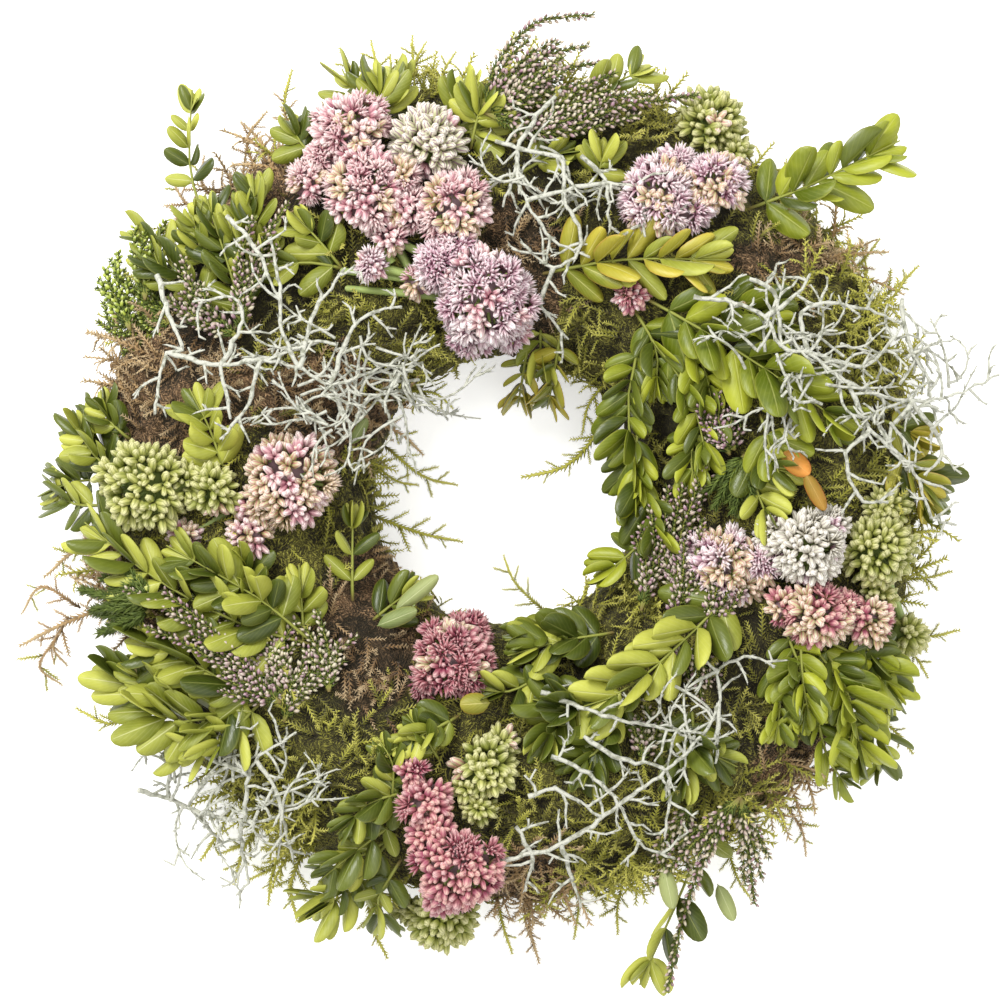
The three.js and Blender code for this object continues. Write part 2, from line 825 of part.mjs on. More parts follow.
const BOX_OVER = {
  box_sprigs_left_long: [
    {
      path: [[-76, -62, 0], [-108, -52, 3], [-140, -35, 4], [-169, -13, 2]],
      pairs: 7,
      leafLength: 22,
      slim: 0.44,
      seed: 31,
    },
    {
      path: [[-76, -62, 0], [-97, -44, 6], [-117, -32, 8], [-135, -22, 7]],
      pairs: 5,
      leafLength: 19,
      slim: 0.5,
      bare: 0.25,
      seed: 32,
    },
  ],
  box_sprigs_left_lower: [
    {
      path: [[-98, -84, 2], [-123, -70, 4], [-151, -58, 3]],
      pairs: 5,
      leafLength: 21,
      slim: 0.48,
      bare: 0.2,
      seed: 33,
    },
    {
      path: [[-98, -84, 2], [-133, -92, 3], [-163, -68, 1]],
      pairs: 5,
      leafLength: 22,
      slim: 0.52,
      bare: 0.25,
      seed: 34,
    },
    {
      path: [[-98, -84, 2], [-118, -103, 2], [-140, -104, 0]],
      pairs: 2,
      leafLength: 19,
      slim: 0.46,
      bare: 0.4,
      seed: 35,
    },
  ],
  box_sprigs_right_lower: [
    {
      path: [[116, -56, 2], [117, -76, 5], [121, -96, 4]],
      pairs: 3,
      leafLength: 18,
      slim: 0.55,
      bare: 0.3,
      seed: 36,
    },
    {
      path: [[116, -56, 2], [134, -80, 4], [143, -112, 10]],
      pairs: 4,
      leafLength: 20,
      slim: 0.5,
      bare: 0.25,
      seed: 37,
    },
    {
      path: [[116, -56, 2], [142, -68, 2], [157, -88, 6]],
      pairs: 3,
      leafLength: 19,
      slim: 0.48,
      bare: 0.4,
      seed: 38,
    },
  ],
  box_sprigs_hanging_inner: [
    {
      path: [[54, 64, 2], [48, 36, 2], [52, 4, 2], [63, -26, 2]],
      pairs: 8,
      leafLength: 18,
      slim: 0.46,
      seed: 39,
    },
    {
      path: [[54, 64, 2], [72, 38, 3], [80, 8, 2]],
      pairs: 4,
      leafLength: 17,
      slim: 0.5,
      bare: 0.25,
      seed: 40,
    },
    {
      path: [[60, -14, 1], [46, -28, -3], [35, -36, -6]],
      pairs: 2,
      leafLength: 16,
      slim: 0.42,
      bare: 0.4,
      seed: 41,
    },
  ],
  box_sprig_turning_right: [
    {
      path: [[100, 30, 2], [104, 16, 3], [108, 4, 3]],
      pairs: 1,
      leafLength: 21,
      slim: 0.5,
      bare: 0.3,
      seed: 42,
    },
  ],
  box_sprig_right_arching: [
    {
      path: [[53, 77, 4], [89, 56, 7], [113, 40, 8], [138, 22, 6]],
      pairs: 6,
      leafLength: 24,
      slim: 0.48,
      seed: 43,
    },
  ],
  box_sprig_bottom_bright: [
    {
      path: [[91, -38, 3], [69, -60, 7], [45, -80, 7], [29, -86, 5]],
      pairs: 5,
      leafLength: 24,
      slim: 0.46,
      seed: 44,
    },
  ],
  box_sprig_olive: [
    { path: [[14, 86, 4], [45, 91, 7], [88, 91, 6]], pairs: 5, leafLength: 23, slim: 0.36, seed: 45 },
  ],
  box_sprig_top_right: [
    {
      path: [[95, 112, 3], [117, 120, 12], [137, 130, 33], [157, 140, 30]],
      pairs: 5,
      leafLength: 22,
      slim: 0.52,
      seed: 46,
    },
  ],
};

const SILVER = {
  silver_upper_left: [
    [[-134, 54, 8], [-113, 49, 10], [-97, 51, 11], [-82, 48, 11], [-70, 42, 11], [-45, 50, 8]],
    [[-82, 48, 11], [-89, 64, 12], [-90, 83, 12], [-94, 99, 10]],
    [[-82, 48, 11], [-76, 70, 12], [-70, 78, 12], [-64, 87, 10]],
    [[-113, 49, 10], [-104, 67, 12], [-107, 75, 12], [-124, 74, 10]],
    [[-139, 85, 8], [-133, 68, 9], [-128, 55, 9], [-134, 54, 8], [-139, 30, 8]],
    [[-113, 49, 10], [-109, 28, 10]],
    [[-97, 51, 11], [-103, 32, 10], [-113, 20, 9]],
    [[-111, 108, 9], [-99, 95, 12], [-89, 72, 12]],
    [[-70, 42, 11], [-58, 67, 12], [-42, 72, 9]],
    [[-70, 42, 11], [-62, 26, 9], [-50, 38, 7]],
  ],
  silver_top_centre: [
    [[21, 159, 9], [10, 146, 12], [4, 135, 12], [7, 114, 12], [19, 98, 12], [32, 92, 11]],
    [[7, 114, 12], [21, 118, 13], [38, 121, 13], [53, 119, 14], [66, 105, 13]],
    [[4, 135, 12], [21, 130, 13], [22, 116, 13], [29, 100, 12], [28, 94, 12], [18, 88, 11], [5, 98, 9]],
    [[18, 88, 11], [13, 74, 9], [24, 60, 6]],
    [[29, 132, 10], [38, 122, 13], [40, 102, 11]],
    [[-5, 138, 10], [4, 135, 12], [-2, 112, 9]],
    [[53, 119, 14], [54, 100, 12]],
  ],
  silver_right: [
    [
      [73, 76, 8], [88, 74, 10], [101, 68, 11], [108, 56, 11], [118, 54, 11], [134, 42, 10],
      [160, 35, 8], [178, 38, 16], [196, 46, 22],
    ],
    [[101, 68, 11], [113, 76, 11], [119, 85, 9]],
    [[95, 83, 8], [104, 78, 10], [108, 56, 11]],
    [[118, 54, 11], [116, 71, 11], [134, 73, 11], [157, 66, 10]],
    [[157, 76, 8], [157, 66, 10], [161, 53, 9], [170, 42, 8]],
    [[118, 54, 11], [141, 49, 10], [157, 66, 10]],
    [[134, 42, 10], [143, 24, 9], [161, 7, 8], [168, -10, 7], [179, -14, 6]],
    [[160, 35, 8], [173, 16, 7], [165, 6, 8]],
    [[143, 24, 9], [133, 14, 9], [140, -4, 8], [150, -5, 7]],
    [[160, 35, 8], [150, 20, 8], [158, 8, 8]],
  ],
  silver_bottom: [
    [
      [-3, -147, 9], [21, -140, 9], [44, -124, 9], [62, -111, 9], [77, -96, 9], [83, -84, 9],
      [83, -71, 9], [96, -66, 8], [105, -70, 7],
    ],
    [[3, -133, 8], [9, -144, 9], [7, -159, 7]],
    [[21, -140, 9], [29, -166, 6]],
    [[8, -121, 8], [18, -118, 9], [37, -129, 9]],
    [[17, -105, 9], [29, -110, 9], [44, -124, 9], [53, -141, 8], [66, -146, 7]],
    [[30, -97, 9], [44, -106, 9], [62, -111, 9], [62, -137, 7]],
    [[13, -80, 8], [35, -88, 9], [55, -93, 9], [77, -96, 9]],
    [[83, -84, 9], [82, -108, 7]],
    [[83, -71, 9], [71, -78, 8]],
  ],
  silver_lower_left: [
    [[-149, -121, 16], [-138, -125, 8], [-122, -130, 6], [-101, -132, 9], [-90, -130, 9]],
    [[-105, -132, 9], [-103, -113, 11], [-100, -107, 11], [-84, -96, 10]],
    [[-103, -113, 11], [-119, -107, 9], [-124, -104, 7]],
    [[-107, -132, 9], [-107, -149, 6], [-105, -158, 10], [-110, -164, 8]],
    [[-127, -129, 7], [-116, -143, 5]],
    [[-138, -125, 6], [-135, -112, 6], [-129, -108, 6]],
    [[-100, -107, 11], [-92, -120, 10], [-90, -130, 9], [-86, -148, 6]],
  ],
};

keep("straw_ring", strawRing(), COLOURS.straw);
keep("binding_wire", bindingWire(), COLOURS.wire);
const MOSS_NAMES = ["right_upper", "top", "left_upper", "left_lower", "bottom", "right_lower"];
MOSS_NAMES.forEach((place, i) => {
  keep("moss_" + place, mossPad(i), place === "left_upper" ? COLOURS.mossBrown : COLOURS.mossGreen);
});
for (const [name, stems] of Object.entries(BOX_UNDER)) {
  const isDark = name.includes("dark") || name.includes("outer");
  lay(name, boxBunch(stems), isDark ? COLOURS.boxDark : COLOURS.boxLight);
}
for (const [name, heads] of Object.entries(HEADS)) {
  lay(name, stonecrop(heads), HEAD_COLOUR[name.split("_")[1]]);
}
for (const [name, spikes] of Object.entries(HEATHER)) {
  lay(name, heatherSpray(spikes), name.startsWith("heather") ? COLOURS.heather : COLOURS.heatherGreen);
}
for (const [name, stems] of Object.entries(BOX_OVER)) {
  lay(name, boxBunch(stems), name.includes("olive") ? COLOURS.boxOlive : COLOURS.boxBright);
}
for (const [name, twigs] of Object.entries(SILVER)) {
  lay(name, silverBranch(twigs), COLOURS.silver);
}

// The origin goes under the middle of the whole.
const middle = new THREE.Box3().setFromObject(wreath, true).getCenter(new THREE.Vector3());
wreath.position.set(-middle.x, -middle.y, 0);

export default wreath;
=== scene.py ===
"""An autumn wreath of moss, box, stonecrop, heather and silver bush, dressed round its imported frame.

While a piece is made, its lengths are millimetres from the ring's axis, with the table at zero.
When it is finished, its mesh is moved into the frame, in metres.
"""

import functools
import logging
import math
from collections.abc import Callable, Sequence
from dataclasses import dataclass, replace
from enum import StrEnum, auto

import bmesh
import bpy
import numpy as np
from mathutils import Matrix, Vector

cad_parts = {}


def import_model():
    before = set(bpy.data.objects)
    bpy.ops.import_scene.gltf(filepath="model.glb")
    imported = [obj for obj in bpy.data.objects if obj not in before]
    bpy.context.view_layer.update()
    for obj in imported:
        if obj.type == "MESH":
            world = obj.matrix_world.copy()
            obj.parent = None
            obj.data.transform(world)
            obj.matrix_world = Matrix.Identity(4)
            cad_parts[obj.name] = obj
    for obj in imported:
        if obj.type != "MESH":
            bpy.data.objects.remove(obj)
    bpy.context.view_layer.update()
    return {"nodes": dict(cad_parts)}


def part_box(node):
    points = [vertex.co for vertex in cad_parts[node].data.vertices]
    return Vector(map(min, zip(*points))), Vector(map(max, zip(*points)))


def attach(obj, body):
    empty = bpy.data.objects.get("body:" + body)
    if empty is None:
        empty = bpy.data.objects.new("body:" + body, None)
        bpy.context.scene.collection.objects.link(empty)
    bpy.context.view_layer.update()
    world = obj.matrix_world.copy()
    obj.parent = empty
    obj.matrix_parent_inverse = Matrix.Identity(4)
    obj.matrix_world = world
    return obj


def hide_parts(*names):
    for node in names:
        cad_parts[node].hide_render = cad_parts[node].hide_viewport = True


log = logging.getLogger("wreath")

Array = np.ndarray
Point = tuple[float, float, float]
Colour = tuple[float, float, float, float]

BODY = "root"
MM = 0.001
TURN = 2 * math.pi
GOLDEN_ANGLE = math.pi * (3 - math.sqrt(5))
UP = Vector((0, 0, 1))
WALK_STEPS = 200
TINY = 1e-6

# The ring and the rounded ridge of foliage that runs round it
RING_RADIUS = 110.0
RIDGE_HALF_WIDTH = 74.0
RIDGE_FOOT = 22.0
RIDGE_RISE = 42.0
STEEPEST = 0.85

# No piece stands higher than this, for the whole to stay within the CAD's box
TALLEST = 91.5


def chance(n: float) -> float:
    """Gives a repeatable number from 0 to 1 for a number."""
    wave = math.sin(n * 12.9898 + 4.1) * 43758.5453
    return wave - math.floor(wave)


def sway(n: float) -> float:
    """Gives a repeatable number from -1 to 1 for a number."""
    return 2 * chance(n) - 1


def clamped(number: float) -> float:
    """Keeps a number from 0 to 1."""
    return min(max(number, 0), 1)


def blend(low: float, high: float, share: float) -> float:
    """Goes from low to high by a share."""
    return low + (high - low) * share


def out_share(x: float, y: float) -> float:
    """Says how far out of the ring's middle line a place is, as a share of the ridge's half width."""
    return (math.hypot(x, y) - RING_RADIUS) / RIDGE_HALF_WIDTH


def on_ridge(point: Sequence[float]) -> Vector:
    """Puts a place on the ridge.

    Args:
        point: Its x and y, and how far it lies above the ridge.

    Returns:
        The place, with its height above the table.
    """
    x, y, lift = point
    out = out_share(x, y)
    return Vector((x, y, RIDGE_FOOT + RIDGE_RISE * math.sqrt(max(0.0, 1 - out * out)) + lift))


def ridge_up(x: float, y: float) -> Vector:
    """Gives the ridge's upward direction, which leans out and in down its sides."""
    out = min(max(out_share(x, y), -STEEPEST), STEEPEST)
    slope = (RIDGE_RISE / RIDGE_HALF_WIDTH) * out / math.sqrt(1 - out * out)
    return (Vector((x, y, 0)).normalized() * slope + UP).normalized()


def on_ball(index: int, count: int, lowest: float, shift: float) -> Vector:
    """Gives one of many directions that are spread evenly over a ball.

    Args:
        index: The direction's number.
        count: How many there are.
        lowest: The height of the last, from 1 at the top to -1.
        shift: How far the whole is turned.

    Returns:
        The direction.
    """
    height = blend(1, lowest, (index + 0.4) / count)
    angle = index * GOLDEN_ANGLE + shift
    across = math.sqrt(1 - height * height)
    return Vector((across * math.cos(angle), across * math.sin(angle), height))


def unit(rows: Array) -> Array:
    """Gives each row the length of one."""
    return rows / np.linalg.norm(rows, axis=1, keepdims=True)


def facing(forward: Array, up: Array) -> Array:
    """Turns shapes so that their Z axis looks forward.

    Args:
        forward: One direction a row.
        up: The direction that each shape's Y axis leans to, one a row.

    Returns:
        One 3 by 3 turn a row.
    """
    ahead = unit(forward)
    side = np.cross(up, ahead)
    lengths = np.linalg.norm(side, axis=1, keepdims=True)
    side = np.where(lengths > TINY, side / np.maximum(lengths, TINY), [[1.0, 0.0, 0.0]])
    return np.stack([side, np.cross(ahead, side), ahead], axis=2)


class Walk:
    """A smooth curve through given points, walked by its length."""

    def __init__(self, corners: Sequence[Vector]) -> None:
        """Lays the curve.

        Args:
            corners: The points that it goes through.
        """
        first = corners[0] * 2 - corners[1]
        last = corners[-1] * 2 - corners[-2]
        points = [np.array(p) for p in (first, *corners, last)]
        shares = np.linspace(0, len(corners) - 1, WALK_STEPS + 1)
        spans = np.minimum(shares.astype(int), len(corners) - 2)
        self.samples = np.array(
            [self._span(points[i : i + 4], t - i) for t, i in zip(shares, spans, strict=True)]
        )
        steps = np.linalg.norm(np.diff(self.samples, axis=0), axis=1)
        self.reached = np.concatenate([[0], np.cumsum(steps)])
        self.length = float(self.reached[-1])

    @staticmethod
    def _span(points: Sequence[Array], t: float) -> Array:
        """Gives a point of the span between the two middle points of four."""
        a, b, c, d = points
        before, here, after = (math.sqrt(np.linalg.norm(q - p)) or 1.0 for p, q in ((a, b), (b, c), (c, d)))
        leave = ((b - a) / before - (c - a) / (before + here) + (c - b) / here) * here
        arrive = ((c - b) / here - (d - b) / (here + after) + (d - c) / after) * here
        bend = -3 * b + 3 * c - 2 * leave - arrive
        return b + leave * t + bend * t**2 + (2 * b - 2 * c + leave + arrive) * t**3

    def at(self, share: float) -> Vector:
        """Gives the point at a share of the length."""
        reach = share * self.length
        return Vector([float(np.interp(reach, self.reached, self.samples[:, k])) for k in range(3)])

    def along(self, share: float) -> Vector:
        """Gives the direction at a share of the length."""
        return (self.at(min(share + 0.01, 1)) - self.at(max(share - 0.01, 0))).normalized()

    def places(self, count: int) -> list[Vector]:
        """Gives evenly spaced points, with both ends."""
        return [self.at(i / (count - 1)) for i in range(count)]

    def rod(self, count: int, radius: float, thick: float, thin: float) -> "Rod":
        """Lays a rod along the curve, whose radius goes from its thick share to its thin one."""
        return Rod(self.places(count), [radius * blend(thick, thin, i / (count - 1)) for i in range(count)])


def ridge_walk(path: Sequence[Point]) -> Walk:
    """Lays a curve through places on the ridge."""
    return Walk([on_ridge(p) for p in path])


def ring_axis() -> tuple[float, float]:
    """Gives the x and y of the ring's axis in the frame."""
    low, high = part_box("straw_ring")
    return (low.x + high.x) / 2, (low.y + high.y) / 2


@dataclass(frozen=True)
class Spots:
    """Where copies of a shape go: one turn with its scale, one place and one tint each."""

    turns: Array
    places: Array
    tints: Array

    def chosen(self, test: Array) -> "Spots":
        """Keeps the spots that pass a test."""
        return Spots(self.turns[test], self.places[test], self.tints[test])


@dataclass(frozen=True)
class Shape:
    """A modelled mesh as arrays, with its marks: how far along and across each corner lies."""

    points: Array
    corners: Array
    sizes: Array
    marks: Array

    @classmethod
    def taken_from(cls, model: bpy.types.Object) -> "Shape":
        """Reads a modelled object and removes it."""
        mesh = model.data
        points = np.empty(len(mesh.vertices) * 3)
        mesh.vertices.foreach_get("co", points)
        corners = np.empty(len(mesh.loops), dtype=np.int64)
        mesh.loops.foreach_get("vertex_index", corners)
        sizes = np.empty(len(mesh.polygons), dtype=np.int64)
        mesh.polygons.foreach_get("loop_total", sizes)
        marks = np.zeros(len(mesh.loops) * 2)
        if mesh.uv_layers:
            mesh.uv_layers[0].data.foreach_get("uv", marks)
        bpy.data.objects.remove(model)
        return cls(points.reshape(-1, 3), corners, sizes, marks.reshape(-1, 2))

    @classmethod
    def joined(cls, shapes: Sequence["Shape"]) -> "Shape":
        """Joins shapes into one."""
        starts = np.cumsum([0] + [len(s.points) for s in shapes[:-1]])
        corners = [s.corners + start for s, start in zip(shapes, starts, strict=True)]
        parts = ([s.points for s in shapes], corners, [s.sizes for s in shapes], [s.marks for s in shapes])
        return cls(*(np.concatenate(part) for part in parts))

    def moved(self, turn: Array, place: Sequence[float]) -> "Shape":
        """Gives a turned, scaled and moved copy."""
        return replace(self, points=self.points @ turn.T + np.array(place))

    def remarked(self, low: float, high: float) -> "Shape":
        """Gives a copy whose marks go from low to high along it."""
        marks = np.stack([blend(low, high, self.marks[:, 0]), self.marks[:, 1]], 1)
        return replace(self, marks=marks)

    def bowed(self, bend: float) -> "Shape":
        """Gives a copy of a shape that stands on Z, one unit long, bowed away from Y by an angle."""
        if not bend:
            return self
        x, y, z = self.points.T
        cosine, sine = np.cos(bend * z), np.sin(bend * z)
        points = np.stack([x, y * cosine - (1 - cosine) / bend, y * sine + sine / bend], 1)
        return replace(self, points=points)

    def along(self, walk: Walk, width: float) -> "Shape":
        """Lays a shape that is one unit tall along a curve.

        Args:
            walk: The curve that its Z axis follows.
            width: How much its other axes grow.

        Returns:
            The bent shape.
        """
        shares = np.clip(self.points[:, 2], 0, 1)
        centres = np.stack(
            [np.interp(shares * walk.length, walk.reached, walk.samples[:, k]) for k in range(3)], 1
        )
        ahead = np.array([walk.along(float(s)) for s in shares])
        turns = facing(ahead, np.tile([0.0, 0.0, 1.0], (len(shares), 1)))
        flat = self.points * [width, width, 0]
        return replace(self, points=centres + np.einsum("nij,nj->ni", turns, flat))


def placed(name: str, data: bpy.types.ID) -> bpy.types.Object:
    """Puts a new object in the scene."""
    made = bpy.data.objects.new(name, data)
    bpy.context.scene.collection.objects.link(made)
    return made


class Workshop:
    """Edit-mode steps that the modelled shapes share."""

    @staticmethod
    def start(primitive: Callable[..., set[str]], **settings: object) -> bpy.types.Object:
        """Adds a primitive with nothing else selected, and opens it for editing."""
        bpy.ops.object.select_all(action="DESELECT")
        primitive(**settings)
        bpy.ops.object.mode_set(mode="EDIT")
        return bpy.context.active_object

    @staticmethod
    def finish(model: bpy.types.Object) -> bpy.types.Object:
        """Turns the faces outwards and leaves edit mode."""
        bpy.ops.mesh.select_all(action="SELECT")
        bpy.ops.mesh.normals_make_consistent(inside=False)
        bpy.ops.object.mode_set(mode="OBJECT")
        return model

    @staticmethod
    def pick(model: bpy.types.Object, test: Callable[[Vector], bool]) -> None:
        """Selects the points whose place passes a test, and no others."""
        mesh = bmesh.from_edit_mesh(model.data)
        for vertex in mesh.verts:
            vertex.select_set(False)
        for vertex in mesh.verts:
            if test(vertex.co):
                vertex.select_set(True)
        mesh.select_flush_mode()
        bmesh.update_edit_mesh(model.data)

    @staticmethod
    def mark(model: bpy.types.Object, rule: Callable[[Vector], tuple[float, float]]) -> None:
        """Writes each corner's marks, how far along and across it lies, by its place."""
        mesh = bmesh.from_edit_mesh(model.data)
        layer = mesh.loops.layers.uv.verify()
        for face in mesh.faces:
            for corner in face.loops:
                corner[layer].uv = rule(corner.vert.co)
        bmesh.update_edit_mesh(model.data)

    @staticmethod
    def choose(model: bpy.types.Object) -> None:
        """Selects an object and no other, and makes it the active one."""
        bpy.ops.object.select_all(action="DESELECT")
        model.select_set(True)
        bpy.context.view_layer.objects.active = model

    @staticmethod
    def apply(model: bpy.types.Object, kind: str, **settings: object) -> None:
        """Adds a modifier to an object and applies it."""
        Workshop.choose(model)
        modifier = model.modifiers.new(kind.lower(), kind)
        for name, value in settings.items():
            setattr(modifier, name, value)
        bpy.ops.object.modifier_apply(modifier=modifier.name)


@dataclass(frozen=True)
class LeafForm:
    """A box leaf, one unit long and wide: folded along its rib, and curled from base to tip."""

    curl: float
    fold: float
    columns: int = 9
    rows: int = 2
    thickness: float = 0.014
    stalk: float = 0.07

    def outline(self, x: float) -> float:
        """Gives the leaf's width at a place along it."""
        share = (x - self.stalk) / (1 - self.stalk)
        if share < 0:
            return 0.07
        return max(0.07, max(0.0, 1 - abs(2 * share**0.92 - 1) ** 2.3) ** 0.5)

    def model(self) -> Shape:
        """Models the leaf from a grid: folded by rows, shaped by columns, then given its thickness."""
        leaf = Workshop.start(
            bpy.ops.mesh.primitive_grid_add, x_subdivisions=self.columns, y_subdivisions=self.rows, size=1,
            location=(0, 0, 0)
        )
        Workshop.mark(leaf, lambda p: (p.x + 0.5, p.y + 0.5))
        for y in sorted({round(v.co.y, 4) for v in bmesh.from_edit_mesh(leaf.data).verts}):
            Workshop.pick(leaf, lambda p, y=y: abs(p.y - y) < 0.01)
            drop = -self.fold * abs(y) ** 1.5
            bpy.ops.transform.translate(value=(0, 0, drop))
        columns = {round(v.co.x, 4) for v in bmesh.from_edit_mesh(leaf.data).verts}
        for x in sorted(columns, key=abs, reverse=True):
            Workshop.pick(leaf, lambda p, x=x: abs(p.x - x) < 0.01)
            reach = (1 - math.cos(math.pi * (x + 0.5))) / 2
            width = self.outline(reach)
            bpy.ops.transform.resize(value=(1, width, width), center_override=(x, 0, 0))
            bpy.ops.transform.translate(value=(reach - 0.5 - x, 0, -self.curl * reach**2))
        bpy.ops.mesh.select_all(action="SELECT")
        bpy.ops.transform.translate(value=(0.5, 0, 0))
        Workshop.finish(leaf)
        Workshop.apply(leaf, "SOLIDIFY", thickness=self.thickness, offset=0)
        return Shape.taken_from(leaf)


@dataclass(frozen=True)
class BudForm:
    """A closed bud that stands on Z, one unit long: round in the middle and pointed at its tip."""

    width: float
    sides: int = 5
    rings: int = 4
    belly: float = 0.1

    def model(self) -> Shape:
        """Models the bud from a ball that is drawn out, with its widest place moved down."""
        bud = Workshop.start(
            bpy.ops.mesh.primitive_uv_sphere_add, segments=self.sides, ring_count=self.rings, radius=0.5,
            location=(0, 0, 0)
        )
        bpy.ops.mesh.select_all(action="SELECT")
        bpy.ops.transform.resize(value=(self.width, self.width, 1), center_override=(0, 0, 0))
        bpy.ops.transform.translate(value=(0, 0, 0.5))
        Workshop.pick(bud, lambda p: 0.02 < p.z < 0.98)
        bpy.ops.transform.translate(value=(0, 0, -self.belly))
        Workshop.mark(bud, lambda p: (p.z, math.atan2(p.y, p.x) / TURN + 0.5))
        return Shape.taken_from(Workshop.finish(bud))


@dataclass(frozen=True)
class StarForm:
    """An open floret that stands on Z: five narrow petals round three upright carpels."""

    spread: float
    petals: int = 5
    petal_width: float = 0.24
    carpel_length: float = 0.62

    def model(self) -> Shape:
        """Models one petal and one carpel, and copies each round the middle."""
        petal = BudForm(self.petal_width, sides=4, rings=2, belly=0.12).model()
        carpel = BudForm(0.16, sides=3, rings=2, belly=0.15).model()
        parts = []
        for i in range(self.petals):
            angle = TURN * i / self.petals
            outward = np.array([math.cos(angle), math.sin(angle), 0])
            lean = outward * math.sin(self.spread) + np.array([0, 0, math.cos(self.spread)])
            parts.append(petal.moved(turn_to(lean, outward, 1), outward * 0.03))
            if i % 2:
                continue
            half = angle + math.pi / self.petals
            between = np.array([math.cos(half), math.sin(half), 0])
            turn = turn_to(between * 0.25 + np.array([0, 0, 1]), between, self.carpel_length)
            parts.append(carpel.moved(turn, between * 0.07))
        return Shape.joined(parts)


@dataclass(frozen=True)
class NeedleForm:
    """A needle that stands on Z, one unit long."""

    width: float = 0.16

    def model(self) -> Shape:
        """Models the needle from a three-sided cone."""
        needle = Workshop.start(
            bpy.ops.mesh.primitive_cone_add, vertices=3, radius1=self.width / 2, radius2=0, depth=1,
            location=(0, 0, 0.5)
        )
        Workshop.mark(needle, lambda p: (p.z + 0.5, 0.5))
        bpy.ops.mesh.select_all(action="SELECT")
        bpy.ops.transform.translate(value=(0, 0, 0.5))
        return Shape.taken_from(Workshop.finish(needle))


@dataclass(frozen=True)
class FrondForm:
    """A moss frond that stands on Z, one unit long: a bowed stem with needles down both sides."""

    bend: float
    pairs: int = 8
    needle: float = 0.2
    tip_needle: float = 0.12
    spread: float = 0.8
    stem_width: float = 0.06
    needle_width: float = 0.46
    segments: int = 2

    def stem(self) -> Shape:
        """Models the stem, drawn up from a small three-cornered foot to a thin end."""
        stem = Workshop.start(
            bpy.ops.mesh.primitive_circle_add, vertices=3, radius=self.stem_width / 2, fill_type="NGON",
            location=(0, 0, 0)
        )
        bpy.ops.mesh.select_all(action="SELECT")
        rise = {"value": (0, 0, 1 / self.segments)}
        for _ in range(self.segments):
            bpy.ops.mesh.extrude_region_move(TRANSFORM_OT_translate=rise)
        Workshop.pick(stem, lambda p: p.z > 0.99)
        bpy.ops.transform.resize(value=(0.3, 0.3, 1), center_override=(0, 0, 1))
        Workshop.mark(stem, lambda p: (p.z, 0.0))
        return Shape.taken_from(Workshop.finish(stem))

    def model(self) -> Shape:
        """Sets the needles on the stem, by turns higher and lower, and bows the whole."""
        needle = NeedleForm(self.needle_width).model()
        parts = [self.stem()]
        for i in range(self.pairs * 2):
            hand = 1 if i % 2 else -1
            share = (i + 1.2) / (self.pairs * 2 + 1)
            rise = 0.55 * sway(i + 0.5)
            lean = (hand * math.sin(self.spread), rise, math.cos(self.spread))
            size = blend(self.needle, self.tip_needle, share) * (1 + 0.2 * sway(i + 0.1))
            turn = turn_to(lean, (0, 1, 0.1), size)
            parts.append(needle.moved(turn, (0, 0, share)).remarked(share, min(1.0, share + 0.25)))
        return Shape.joined(parts).bowed(self.bend)


@dataclass(frozen=True)
class Rod:
    """A rod through points, with its radius at each."""

    points: Sequence[Vector]
    radii: Sequence[float]


def bent_rods(rods: Sequence[Rod], sides: int = 6) -> Shape:
    """Models rods as round curves with closed ends, and makes them a mesh.

    Args:
        rods: The rods.
        sides: How many sides each has, an even number from 4.

    Returns:
        The rods in one shape.
    """
    curve = bpy.data.curves.new("rods", "CURVE")
    curve.dimensions = "3D"
    curve.bevel_depth = 1
    curve.bevel_resolution = (sides - 4) // 2
    curve.use_fill_caps = True
    for rod in rods:
        ahead = (rod.points[-1] - rod.points[-2]).normalized() * rod.radii[-1] * 0.6
        points = [*rod.points, rod.points[-1] + ahead]
        spline = curve.splines.new("POLY")
        spline.points.add(len(points) - 1)
        spline.points.foreach_set("co", [c for p in points for c in (*p, 1)])
        spline.points.foreach_set("radius", [*rod.radii, rod.radii[-1] * 0.5])
    model = placed("rods", curve)
    Workshop.choose(model)
    bpy.ops.object.convert(target="MESH")
    return Shape.taken_from(bpy.context.active_object)


